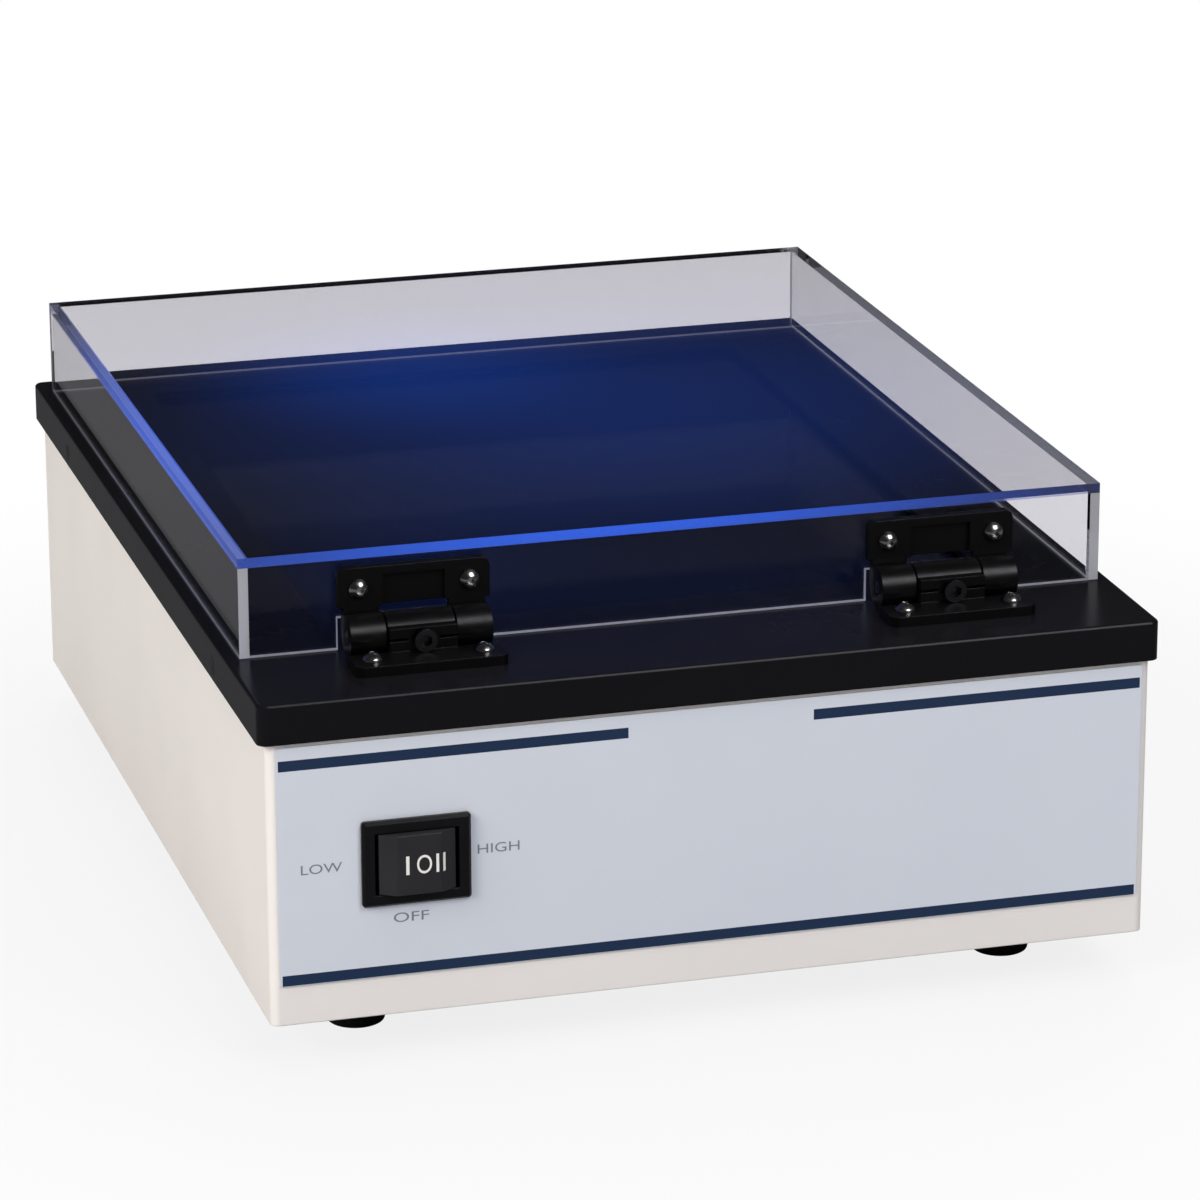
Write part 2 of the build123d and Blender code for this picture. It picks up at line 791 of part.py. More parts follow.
def hinge_leaf(x):
    """Cover leaf with two outer knuckles and a pocket that clears the adjusting screw."""
    inner = pivot_offset - leaf_thickness
    edge = knuckle_radius + leaf_clearance
    plate = limit_face(inner, pivot_offset, edge, leaf_reach)
    leaf = profile_solid(plate, x - hinge_width / 2, x + hinge_width / 2)
    corners = leaf.edges().filter_by(Axis.Y).group_by(Axis.Z)[-1]
    leaf = fillet(corners, leaf_corner)
    knuckle = Circle(knuckle_radius) + limit_face(inner, pivot_offset, 0, edge + 1)
    body = leaf
    for side in (-1, 1):
        near = clamp_width / 2 + knuckle_gap
        far = barrel_width / 2
        x0 = x + min(side * near, side * far)
        x1 = x + max(side * near, side * far)
        body += profile_solid(knuckle, x0, x1)
    bore_start = (x - hinge_width, pivot_y, pivot_z)
    body -= rod(hinge_pin_radius + running_clearance, bore_start, (1, 0, 0), 2 * hinge_width)
    half = clamp_width / 2 - knuckle_gap - pocket_side_gap
    pocket = limit_face(inner - 1, inner + pocket_depth, edge - 1, leaf_reach - pocket_end_wall)
    body -= profile_solid(pocket, x - half, x + half)
    for side in (-1, 1):
        hole = (x + side * hole_spacing / 2, pivot_y + inner, pivot_z + hole_reach)
        body -= rod(m3_hole, hole, (0, 1, 0), leaf_thickness)
    return body


def hinge_pin(x):
    """Steel pin through the three knuckles, with its ends rounded off."""
    pin = rod(hinge_pin_radius, (x - barrel_width / 2, pivot_y, pivot_z), (1, 0, 0), barrel_width)
    return chamfer(pin.edges().filter_by(GeomType.CIRCLE), hinge_pin_chamfer)


def hinge_adjuster(x):
    """Socket screw in the front of the clamp knuckle."""
    seat = (x, pivot_y - lug_reach, pivot_z)
    head = rod(adjuster_head_radius, seat, (0, -1, 0), adjuster_head_height)
    socket_start = (x, pivot_y - lug_reach - adjuster_socket_floor, pivot_z)
    head -= hexagon(adjuster_socket_flats, socket_start, (0, -1, 0), adjuster_head_height)
    return head + rod(adjuster_radius, seat, (0, 1, 0), adjuster_length)


def hinge_base_screws():
    """Screws through the base leaves and the plate."""
    z = plate_top + leaf_thickness
    length = leaf_thickness + plate_sheet + m3_nut_height + m3_thread_end
    seats = [(x, pivot_y - hole_reach, z) for x in hinge_hole_xs()]
    return group(pan_screw(seat, (0, 0, 1), m3_head_radius, m3_head_height, length) for seat in seats)


def hinge_cover_screws():
    """Screws through the cover leaves and the front wall."""
    y = cover_front - leaf_thickness
    length = leaf_thickness + acrylic + m3_nut_height + m3_thread_end
    seats = [(x, y, pivot_z + hole_reach) for x in hinge_hole_xs()]
    return group(pan_screw(seat, (0, -1, 0), m3_head_radius, m3_head_height, length) for seat in seats)


def hinge_cover_nuts():
    """Nuts inside the front wall."""
    seats = [(x, cover_front + acrylic, pivot_z + hole_reach) for x in hinge_hole_xs()]
    bore = m3_radius + seat_clearance
    return group(nut(m3_nut_flats, m3_nut_height, bore, seat, (0, 1, 0)) for seat in seats)


def tube_xs():
    """Middle of each tube across the width."""
    middle = (tube_count - 1) / 2
    return [(index - middle) * tube_pitch for index in range(tube_count)]


def tube_ends():
    """Depth of each end face of the tubes and the direction that points away from the tube."""
    return [(tube_mid - tube_length / 2, -1), (tube_mid + tube_length / 2, 1)]


def uv_tube(x):
    """Glass envelope between its two caps."""
    length = tube_length - 2 * cap_length
    return rod(tube_radius, (x, tube_mid - length / 2, lamp_z), (0, 1, 0), length)


def tube_caps():
    """Metal cap with two pins at both ends of every tube."""
    caps = []
    for x in tube_xs():
        for end, way in tube_ends():
            cap = rod(cap_radius, (x, end, lamp_z), (0, -way, 0), cap_length)
            rims = cap.edges().filter_by(GeomType.CIRCLE).sort_by(Axis.Y)
            cap = fillet(rims[0] if way < 0 else rims[-1], cap_round)
            for side in (-1, 1):
                start = (x + side * cap_pin_spacing / 2, end, lamp_z)
                cap += rod(cap_pin_radius, start, (0, way, 0), cap_pin_length)
            caps.append(cap)
    return group(caps)


def lampholder(x, end, way):
    """Moulded two-pin holder with a round top, a contact pocket and an entry slot."""
    shape = Pos(0, -lamp_rise / 2) * Rectangle(holder_width, lamp_rise) + Circle(holder_width / 2)
    body = extrude(shape, holder_thickness)
    body -= extrude(Circle(holder_pocket_radius), holder_pocket_depth)
    slot = Pos(0, holder_width / 2) * Rectangle(2 * cap_pin_radius + holder_slot, holder_width)
    body -= extrude(slot, holder_pocket_depth)
    turn = Rot(0, 0, 0) if way < 0 else Rot(0, 0, 180)
    return Pos(x, end + way * holder_gap, lamp_z) * turn * Rot(90, 0, 0) * body


def lampholders(end, way):
    """The row of holders at one end of the tubes."""
    return group(lampholder(x, end, way) for x in tube_xs())


def lamp_bridge():
    """Folded sheet that carries the lampholders above the ballasts, with feet turned inward."""
    half = bridge_width / 2
    y0 = tube_mid - bridge_depth / 2
    y1 = tube_mid + bridge_depth / 2
    outer = block(-half, half, y0, y1, base_top, bridge_top)
    long_edges = outer.edges().filter_by(Axis.Y).group_by(Axis.Z)[-1]
    outer = fillet(long_edges, bridge_corner)
    wall = half - bridge_sheet
    body = outer - block(-wall, wall, y0, y1, base_top + bridge_sheet, bridge_top - bridge_sheet)
    mouth = half - bridge_foot
    body -= block(-mouth, mouth, y0, y1, base_top, base_top + bridge_sheet)
    for x, y in bridge_hole_places():
        body -= rod(m3_hole, (x, y, base_top), (0, 0, 1), bridge_sheet)
    return body


def lamp_reflector():
    """Bright sheet folded into one trough under each tube."""
    valley = bridge_top + reflector_lift
    ridge = valley + reflector_rise
    centres = tube_xs()
    upper = [(centres[0] - tube_pitch / 2, ridge)]
    for x in centres:
        upper.append((x - reflector_flat / 2, valley))
        upper.append((x + reflector_flat / 2, valley))
        upper.append((x + tube_pitch / 2, ridge))
    lower = [(x, z - reflector_sheet) for x, z in reversed(upper)]
    profile = make_face(Polyline(*upper, *lower, close=True))
    length = tube_length - 2 * reflector_end_gap
    sheet = extrude(Plane.XZ * profile, length / 2, both=True)
    return Pos(0, tube_mid, reflector_sheet - reflector_lift) * sheet


def ballast(x):
    """Ballast case with bevelled long edges and a screw ear at each end."""
    half = ballast_width / 2
    reach = ballast_length / 2
    case = block(
        x - half, x + half, ballast_mid - reach, ballast_mid + reach, base_top, base_top + ballast_height)
    case = chamfer(case.edges().filter_by(Axis.Y).group_by(Axis.Z)[-1], ballast_chamfer)
    ear_length = ballast_length + 2 * ballast_ear
    ear_top = base_top + ballast_ear_sheet
    body = case + slab(ballast_ear_width, ear_length, ballast_ear_corner, x, ballast_mid, base_top, ear_top)
    for y in ballast_hole_ys():
        body -= rod(m3_hole, (x, y, base_top), (0, 0, 1), ballast_ear_sheet)
    return body


def tray_screws():
    """Screws through the ballast ears and the bridge's feet into the base tray."""
    places = [(x, y, ballast_ear_sheet) for x in ballast_xs() for y in ballast_hole_ys()]
    places += [(x, y, bridge_sheet) for x, y in bridge_hole_places()]
    screws = []
    for x, y, grip in places:
        seat = (x, y, base_top + grip)
        length = grip + base_sheet
        screws.append(pan_screw(seat, (0, 0, 1), low_head_radius, low_head_height, length))
    return group(screws)


def panel_nuts():
    """Nuts of the foot, clip, hinge and inlet screws, each on the inner side of its sheet."""
    places = [((x, y, base_top), (0, 0, 1)) for x, y in foot_places()]
    for (x, y), angle in clip_places():
        stud_x, stud_y = clip_stud(x, y, angle)
        places.append(((stud_x, stud_y, plate_under - clip_sheet), (0, 0, -1)))
    places += [((x, pivot_y - hole_reach, plate_under), (0, 0, -1)) for x in hinge_hole_xs()]
    places += [((x, inner_back, inlet_z), (0, -1, 0)) for x in inlet_hole_xs()]
    bore = m3_radius + seat_clearance
    return group(nut(m3_nut_flats, m3_nut_height, bore, seat, outward) for seat, outward in places)


def terminal_block():
    """Screw terminal strip on the base tray, with raised ribs between its ways."""
    y = plate_back - terminal_block_from_back
    half = terminal_block_width / 2
    deep = terminal_block_depth / 2
    way = terminal_block_width / terminal_block_ways
    body = block(
        terminal_block_x - half, terminal_block_x + half, y - deep, y + deep,
        base_top, base_top + terminal_block_height)
    for index in range(terminal_block_ways):
        x = terminal_block_x - half + way / 2 + way * index
        open_half = (way - terminal_block_rib) / 2
        top = base_top + terminal_block_height
        well = block(x - open_half, x + open_half, y - deep, y + deep, top - terminal_block_well, top)
        body -= well
    return body


def earth_stud():
    """Earth stud with its nut on the base tray."""
    y = plate_back - earth_stud_from_back
    stud = rod(earth_stud_radius, (earth_stud_x, y, base_under), (0, 0, 1), earth_stud_height)
    collar = hexagon(earth_nut_flats, (earth_stud_x, y, base_top), (0, 0, 1), earth_nut_height)
    return stud + collar


def mains_inlet():
    """Flanged inlet body with a three-blade socket above a fuse drawer slot."""
    face = panel_back + inlet_flange_thickness
    flange_outline = RectangleRounded(inlet_flange_width, inlet_flange_height, inlet_flange_corner)
    flange = extrude(flange_outline, inlet_flange_thickness)
    body = Pos(inlet_x, face, inlet_z) * Rot(90, 0, 0) * flange
    half_width = inlet_body_width / 2
    half_height = inlet_body_height / 2
    front = panel_back - inlet_body_depth
    body += block(
        inlet_x - half_width, inlet_x + half_width, front, panel_back,
        inlet_z - half_height, inlet_z + half_height)
    body -= socket_cutter(face)
    drawer_z = inlet_z - drawer_drop
    slot_half = drawer_width / 2 + drawer_clearance
    slot_high = drawer_height / 2 + drawer_clearance
    body -= block(
        inlet_x - slot_half, inlet_x + slot_half, face - drawer_depth - drawer_end_gap, face,
        drawer_z - slot_high, drawer_z + slot_high)
    face_half = drawer_face_width / 2 + drawer_clearance
    face_high = drawer_face_height / 2 + drawer_clearance
    body -= block(
        inlet_x - face_half, inlet_x + face_half, face - drawer_face_recess, face,
        drawer_z - face_high, drawer_z + face_high)
    for x in inlet_hole_xs():
        seat = (x, face, inlet_z)
        body -= countersink(seat, (0, 1, 0), flat_head_radius, m3_hole, 2 * inlet_flange_thickness)
    return body


def socket_outline():
    """Socket mouth with its two upper corners cut off."""
    half = socket_width / 2
    high = socket_height / 2
    cut = socket_chamfer
    points = [
        (-half, -high), (half, -high), (half, high - cut),
        (half - cut, high), (cut - half, high), (-half, high - cut),
    ]
    return make_face(Polyline(*points, close=True))


def socket_cutter(face):
    """Cutter for the recess that the mains lead's connector goes into."""
    recess = extrude(socket_outline(), socket_depth)
    return Pos(inlet_x, face, inlet_z + socket_rise) * Rot(90, 0, 0) * recess


def inlet_blades():
    """Three contact blades in the socket, the middle one lower."""
    face = panel_back + inlet_flange_thickness
    root = face - socket_depth
    blades = []
    for index in (-1, 0, 1):
        x = inlet_x + index * blade_pitch
        z = inlet_z + socket_rise + (blade_drop if index == 0 else -blade_drop)
        blades.append(block(
            x - blade_width / 2, x + blade_width / 2, root, root + blade_length,
            z - blade_height / 2, z + blade_height / 2))
    return group(blades)


def fuse_drawer():
    """Drawer with an open tray for the fuse and a face with a finger grip."""
    face = panel_back + inlet_flange_thickness
    z = inlet_z - drawer_drop
    half = drawer_width / 2
    high = drawer_height / 2
    inner, seat = face - drawer_depth, face - drawer_face_recess
    body = block(inlet_x - half, inlet_x + half, inner, seat, z - high, z + high)
    face_half = drawer_face_width / 2
    face_high = drawer_face_height / 2
    body += block(
        inlet_x - face_half, inlet_x + face_half, seat, face, z - face_high, z + face_high)
    tray_half = half - drawer_wall
    tray_back = face - drawer_face_recess - drawer_wall
    body -= block(
        inlet_x - tray_half, inlet_x + tray_half, face - drawer_depth + drawer_wall, tray_back,
        z - high + drawer_wall, z + high)
    body += block(
        inlet_x - face_half / 2, inlet_x + face_half / 2, face, face + drawer_grip,
        z - face_high, z - face_high + drawer_grip_height)
    return body


def fuse():
    """Glass fuse lying across the drawer."""
    z = inlet_z - drawer_drop - drawer_height / 2 + drawer_wall + fuse_radius
    y = panel_back + inlet_flange_thickness - drawer_depth / 2
    return rod(fuse_radius, (inlet_x - fuse_length / 2, y, z), (1, 0, 0), fuse_length)


def inlet_screws():
    """Two countersunk screws in the inlet's flange."""
    face = panel_back + inlet_flange_thickness
    length = inlet_flange_thickness + housing_sheet + m3_nut_height + m3_thread_end
    seats = [(x, face, inlet_z) for x in inlet_hole_xs()]
    return group(flat_screw(seat, (0, 1, 0), flat_head_radius, length) for seat in seats)


def fan_frame():
    """Square fan frame with a round duct and a motor spider on its inner side."""
    outline = RectangleRounded(fan_size, fan_size, fan_corner)
    body = extrude(outline, fan_thickness)
    body -= extrude(Circle(fan_bore_radius), fan_thickness)
    spider = Circle(fan_spider_radius)
    spider += Rectangle(2 * fan_bore_radius + 2, fan_strut)
    spider += Rectangle(fan_strut, 2 * fan_bore_radius + 2)
    body += extrude(spider, fan_spider_sheet)
    stub = fan_thickness - fan_running_gap * 2
    body += extrude(Circle(fan_shaft_radius), stub)
    half = fan_hole_pitch / 2
    for i in (-1, 1):
        for k in (-1, 1):
            body -= extrude(Pos(i * half, k * half) * Circle(m3_radius + seat_clearance), fan_thickness)
    return Pos(fan_x, fan_front, fan_z) * Rot(-90, 0, 0) * body


def fan_rotor():
    """Hub cup and its twisted blades, turning on the frame's shaft."""
    base = fan_spider_sheet + fan_running_gap
    hub = Pos(0, 0, base) * extrude(Circle(fan_hub_radius), fan_hub_depth)
    hub -= Pos(0, 0, base) * extrude(Circle(fan_shaft_radius + running_clearance), fan_hub_depth)
    reach = fan_bore_radius - fan_tip_gap
    span = reach - fan_hub_radius + fan_blade_root
    height = fan_hub_depth - 2 * fan_blade_inset
    chord = height / math.cos(math.radians(fan_blade_pitch_angle)) - fan_blade_sheet
    middle = base + fan_hub_depth / 2
    blade = Rot(fan_blade_pitch_angle, 0, 0) * Box(span, fan_blade_sheet, chord)
    blade = Pos(fan_hub_radius - fan_blade_root + span / 2, 0, 0) * blade
    rotor = hub
    for index in range(fan_blade_count):
        rotor += Pos(0, 0, middle) * Rot(0, 0, index * 360 / fan_blade_count) * blade
    rotor = rotor & (Pos(0, 0, base) * extrude(Circle(reach), fan_hub_depth))
    return Pos(fan_x, fan_front, fan_z) * Rot(-90, 0, 0) * rotor


def fan_screws():
    """Four screws through the back panel into the fan frame."""
    seats = [(x, panel_back, z) for x, z in fan_hole_places()]
    length = housing_sheet + fan_thickness - fan_screw_short
    return group(pan_screw(seat, (0, 1, 0), low_head_radius, low_head_height, length) for seat in seats)


def build():
    """Write every node of the transilluminator."""
    os.makedirs("parts", exist_ok=True)
    save(top_plate(), "top_plate")
    save(housing_shell(), "housing_shell")
    save(base_tray(), "base_tray")
    save(base_screws(), "base_screws")
    save(lid_screws(), "lid_screws")
    for name, (x, y) in zip(("front_left", "front_right", "rear_left", "rear_right"), foot_places()):
        save(foot(x, y), f"foot_{name}")
    save(foot_screws(), "foot_screws")
    save(front_overlay(), "front_overlay")

    save(filter_glass(), "filter_glass")
    save(filter_gasket(), "filter_gasket")
    save(filter_clips(), "filter_clips")

    save(cover_sheet_top(), "cover_top")
    save(cover_sheet_side(-1), "cover_left")
    save(cover_sheet_side(1), "cover_right")
    save(cover_sheet_front(), "cover_front")
    save(cover_sheet_back(), "cover_back")

    for name, x in zip(("left", "right"), hinge_centres()):
        save(hinge_base(x), f"hinge_base_{name}")
        save(hinge_leaf(x), f"hinge_leaf_{name}")
        save(hinge_pin(x), f"hinge_pin_{name}")
        save(hinge_adjuster(x), f"hinge_adjuster_{name}")
    save(hinge_base_screws(), "hinge_base_screws")
    save(hinge_cover_screws(), "hinge_cover_screws")
    save(hinge_cover_nuts(), "hinge_cover_nuts")

    for index, x in enumerate(tube_xs(), start=1):
        save(uv_tube(x), f"uv_tube_{index}")
    save(tube_caps(), "tube_caps")
    (front_end, front_way), (back_end, back_way) = tube_ends()
    save(lampholders(front_end, front_way), "lampholders_front")
    save(lampholders(back_end, back_way), "lampholders_rear")
    save(lamp_bridge(), "lamp_bridge")
    save(lamp_reflector(), "lamp_reflector")

    for index, x in enumerate(ballast_xs(), start=1):
        save(ballast(x), f"ballast_{index}")
    save(tray_screws(), "tray_screws")
    save(panel_nuts(), "panel_nuts")
    save(terminal_block(), "terminal_block")
    save(earth_stud(), "earth_stud")

    save(switch_housing(), "switch_housing")
    save(rocker(), "rocker")
    save(switch_terminals(), "switch_terminals")

    save(mains_inlet(), "mains_inlet")
    save(inlet_blades(), "inlet_blades")
    save(fuse_drawer(), "fuse_drawer")
    save(fuse(), "fuse")
    save(inlet_screws(), "inlet_screws")

    save(fan_frame(), "fan_frame")
    save(fan_rotor(), "fan_rotor")
    save(fan_screws(), "fan_screws")


build()
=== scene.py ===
"""Ultraviolet transilluminator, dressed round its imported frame."""
import logging
import math
from abc import ABC, abstractmethod
from dataclasses import dataclass, field
from enum import Enum
from typing import Any, Callable, Iterable, Sequence

import bmesh
import bpy
from mathutils import Matrix, Vector
from mathutils.bvhtree import BVHTree


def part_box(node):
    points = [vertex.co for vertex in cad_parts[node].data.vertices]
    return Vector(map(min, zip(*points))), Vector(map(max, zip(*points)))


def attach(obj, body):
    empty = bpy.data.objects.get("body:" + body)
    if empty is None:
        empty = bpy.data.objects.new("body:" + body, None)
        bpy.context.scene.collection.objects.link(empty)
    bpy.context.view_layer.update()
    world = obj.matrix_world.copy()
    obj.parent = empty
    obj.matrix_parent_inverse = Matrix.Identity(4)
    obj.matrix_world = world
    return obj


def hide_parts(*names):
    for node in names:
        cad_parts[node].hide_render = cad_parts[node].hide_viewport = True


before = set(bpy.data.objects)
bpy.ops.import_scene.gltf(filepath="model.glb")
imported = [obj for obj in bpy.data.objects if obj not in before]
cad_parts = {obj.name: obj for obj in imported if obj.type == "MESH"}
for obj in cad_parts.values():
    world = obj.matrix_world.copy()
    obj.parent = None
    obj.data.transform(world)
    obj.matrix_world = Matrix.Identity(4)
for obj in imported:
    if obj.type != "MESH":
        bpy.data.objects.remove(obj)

log = logging.getLogger("transilluminator")

MM = 0.001
Colour = tuple[float, float, float, float]
Socket = bpy.types.NodeSocket
Tree = bpy.types.NodeTree
WHITE: Colour = (1.0, 1.0, 1.0, 1.0)
BLACK: Colour = (0.0, 0.0, 0.0, 1.0)

# How finely each kind of noise is drawn, and the part of the wear noise that spans smooth to dull.
DRIFT_DETAIL = 4.0
WEAR_DETAIL = 5.0
GRAIN_DETAIL = 2.0
WEAR_FROM = 0.3
WEAR_TO = 0.7
# Height of a full-strength grain, and the rays that round an edge.
GRAIN_HEIGHT_MM = 0.1
EDGE_SAMPLES = 4
# Points closer than this are one point, the cement lines are cut to this, and boxes sort by 0.1 mm.
SAME_POINT_MM = 0.001
SCORE_MM = 0.0001
SORT_DIGITS = 4


def linear(code: str) -> Colour:
    """Turn an sRGB hex colour into linear light.

    Args:
        code: six hex digits, with or without a leading hash.

    Returns:
        Red, green, blue and an alpha of one.
    """
    digits = code.lstrip("#")
    channels = []
    # The two parts of the curve that the sRGB standard gives.
    for start in (0, 2, 4):
        value = int(digits[start:start + 2], 16) / 255
        channels.append(value / 12.92 if value <= 0.04045 else ((value + 0.055) / 1.055) ** 2.4)
    return (channels[0], channels[1], channels[2], 1.0)


def per_metre(size_mm: float) -> float:
    """Texture scale whose feature is this many millimetres, for coordinates in metres."""
    return 1.0 / (size_mm * MM)


def add_node(
    tree: Tree,
    kind: str,
    settings: dict[Any, Any] | None = None,
    links: dict[Any, Socket] | None = None,
) -> bpy.types.Node:
    """Add a node with its settings and links.

    Args:
        tree: the tree that takes the node.
        kind: the node's type name.
        settings: properties by name, and unlinked inputs by name or index.
        links: sockets that feed the inputs, by input name or index.

    Returns:
        The new node.
    """
    node = tree.nodes.new(kind)
    for key, value in (settings or {}).items():
        if isinstance(key, str) and key in node.bl_rna.properties:
            setattr(node, key, value)
        else:
            node.inputs[key].default_value = value
    for key, socket in (links or {}).items():
        tree.links.new(socket, node.inputs[key])
    return node


@dataclass(frozen=True)
class Finish(ABC):
    """One surface finish. Its material is made once and then shared."""

    name: str

    def material(self) -> bpy.types.Material:
        """Make the material, or give the one made before.

        Returns:
            The material of this finish.
        """
        made = bpy.data.materials.get(self.name)
        if made is not None:
            return made
        made = bpy.data.materials.new(self.name)
        made.use_nodes = True
        tree = made.node_tree
        tree.nodes.clear()
        place = add_node(tree, "ShaderNodeTexCoord").outputs["Object"]
        shader = self.surface(tree, place)
        add_node(tree, "ShaderNodeOutputMaterial", links={"Surface": shader})
        return made

    @abstractmethod
    def surface(self, tree: Tree, place: Socket) -> Socket:
        """Build the shader.

        Args:
            tree: the material's tree.
            place: object coordinates, in metres.

        Returns:
            The shader socket for the surface.
        """


def mottled(tree: Tree, place: Socket, colours: tuple[str, str], size_mm: float) -> Socket:
    """Colour that drifts between two near shades.

    Args:
        tree: the material's tree.
        place: object coordinates.
        colours: the two shades, as hex.
        size_mm: size of a patch.

    Returns:
        The colour socket.
    """
    cloud = add_node(
        tree, "ShaderNodeTexNoise", {"Scale": per_metre(size_mm), "Detail": DRIFT_DETAIL}, {"Vector": place})
    mix = add_node(
        tree, "ShaderNodeMix",
        {"data_type": "RGBA", 6: linear(colours[0]), 7: linear(colours[1])},
        {0: cloud.outputs["Fac"]},
    )
    return mix.outputs[2]


def worn_roughness(tree: Tree, place: Socket, low: float, high: float, size_mm: float) -> Socket:
    """Roughness that varies as on a handled surface.

    Args:
        tree: the material's tree.
        place: object coordinates.
        low: roughness where the surface is smoothest.
        high: roughness where it is dullest.
        size_mm: size of a patch.

    Returns:
        The roughness socket.
    """
    cloud = add_node(
        tree, "ShaderNodeTexNoise", {"Scale": per_metre(size_mm), "Detail": WEAR_DETAIL}, {"Vector": place})
    spread = add_node(
        tree, "ShaderNodeMapRange",
        {"From Min": WEAR_FROM, "From Max": WEAR_TO, "To Min": low, "To Max": high},
        {"Value": cloud.outputs["Fac"]},
    )
    return spread.outputs["Result"]


def grained(tree: Tree, place: Socket, size_mm: float, relief: float, edge_mm: float) -> Socket:
    """Normal of a surface with a fine grain and softened edges.

    Args:
        tree: the material's tree.
        place: object coordinates.
        size_mm: size of one grain.
        relief: strength of the grain, from 0 to 1.
        edge_mm: radius to which the edges look rounded.

    Returns:
        The normal socket.
    """
    soft = add_node(tree, "ShaderNodeBevel", {"samples": EDGE_SAMPLES, "Radius": edge_mm * MM})
    grain = add_node(
        tree, "ShaderNodeTexNoise", {"Scale": per_metre(size_mm), "Detail": GRAIN_DETAIL}, {"Vector": place})
    bump = add_node(
        tree, "ShaderNodeBump", {"Strength": relief, "Distance": GRAIN_HEIGHT_MM * MM},
        {"Height": grain.outputs["Fac"], "Normal": soft.outputs["Normal"]},
    )
    return bump.outputs["Normal"]


@dataclass(frozen=True)
class Coat(Finish):
    """Any opaque coat or moulding: two near shades, patchy gloss, a fine grain and softened edges."""

    shades: tuple[str, str]
    smooth: float
    dull: float
    drift_mm: float
    wear_mm: float
    grain_mm: float
    relief: float
    edge_mm: float
    gloss: float = 0.5
    bend: float = 1.5

    def colour(self, tree: Tree, place: Socket) -> Socket:
        """Colour of the coat, which drifts between its shades."""
        return mottled(tree, place, self.shades, self.drift_mm)

    def surface(self, tree: Tree, place: Socket) -> Socket:
        """Build the coat from its colour, its wear and its grain.

        Args:
            tree: the material's tree.
            place: object coordinates, in metres.

        Returns:
            The shader socket for the surface.
        """
        shader = add_node(
            tree, "ShaderNodeBsdfPrincipled",
            {"IOR": self.bend, "Specular IOR Level": self.gloss},
            {
                "Base Color": self.colour(tree, place),
                "Roughness": worn_roughness(tree, place, self.smooth, self.dull, self.wear_mm),
                "Normal": grained(tree, place, self.grain_mm, self.relief, self.edge_mm),
            },
        )
        return shader.outputs["BSDF"]


@dataclass(frozen=True)
class PowderCoat(Coat):
    """Powder coat on sheet steel: baked and satin, with an even orange peel that breaks up highlights."""

    shades: tuple[str, str] = ("E4E0DB", "DEDAD5")
    smooth: float = 0.40
    dull: float = 0.50
    drift_mm: float = 70.0
    wear_mm: float = 40.0
    grain_mm: float = 0.8
    relief: float = 0.18
    edge_mm: float = 0.6
    gloss: float = 0.4


@dataclass(frozen=True)
class BlackEnamel(Coat):
    """Semi-gloss black enamel, sprayed and baked: deep black with a long, shallow orange peel."""

    shades: tuple[str, str] = ("0C0C0F", "111013")
    smooth: float = 0.25
    dull: float = 0.28
    drift_mm: float = 55.0
    wear_mm: float = 60.0
    grain_mm: float = 2.2
    relief: float = 0.05
    edge_mm: float = 0.8
    gloss: float = 0.25


@dataclass(frozen=True)
class MouldedPlastic(Coat):
    """Injection-moulded plastic: even colour, spark-eroded grain and softly rounded mould edges.

    The real grain is about 0.1 mm. It is drawn several times as coarse, so that it shows.
    """

    shades: tuple[str, str] = ("151517", "1A1A1C")
    smooth: float = 0.32
    dull: float = 0.44
    drift_mm: float = 12.0
    wear_mm: float = 8.0
    grain_mm: float = 0.5
    relief: float = 0.25
    edge_mm: float = 0.35


@dataclass(frozen=True)
class Band:
    """One printed stripe, by its limits in millimetres."""

    left: float
    right: float
    bottom: float
    top: float


@dataclass(frozen=True)
class PrintedFilm(Coat):
    """Polyester film, back-printed and stuck down: velvety matt face, with crisp flat ink under it."""

    shades: tuple[str, str] = ("CDD2DA", "C7CCD5")
    smooth: float = 0.40
    dull: float = 0.48
    drift_mm: float = 45.0
    wear_mm: float = 25.0
    grain_mm: float = 0.45
    relief: float = 0.10
    edge_mm: float = 0.2
    gloss: float = 0.4
    bend: float = 1.55
    ink: str = "152C4B"
    bands: tuple[Band, ...] = ()

    def colour(self, tree: Tree, place: Socket) -> Socket:
        """Colour of the film, with its stripes in ink.

        Args:
            tree: the material's tree.
            place: object coordinates.

        Returns:
            The colour socket.
        """
        axes = add_node(tree, "ShaderNodeSeparateXYZ", links={"Vector": place})
        printed, *others = [self.stripe(tree, axes, band) for band in self.bands]
        for other in others:
            both = add_node(tree, "ShaderNodeMath", {"operation": "MAXIMUM"}, {0: printed, 1: other})
            printed = both.outputs["Value"]
        mix = add_node(
            tree, "ShaderNodeMix", {"data_type": "RGBA", 7: linear(self.ink)},
            {0: printed, 6: mottled(tree, place, self.shades, self.drift_mm)},
        )
        return mix.outputs[2]

    @staticmethod
    def stripe(tree: Tree, axes: bpy.types.Node, band: Band) -> Socket:
        """Mask of one stripe: one inside it and nought outside.

        Args:
            tree: the material's tree.
            axes: node that gives the coordinates apart.
            band: the stripe's limits.

        Returns:
            The mask's socket.
        """
        inside = []
        for low, high, axis in ((band.left, band.right, "X"), (band.bottom, band.top, "Z")):
            check = add_node(
                tree, "ShaderNodeMath",
                {"operation": "COMPARE", 1: (low + high) / 2 * MM, 2: (high - low) / 2 * MM},
                {0: axes.outputs[axis]},
            )
            inside.append(check.outputs["Value"])
        both = add_node(tree, "ShaderNodeMath", {"operation": "MULTIPLY"}, {0: inside[0], 1: inside[1]})
        return both.outputs["Value"]


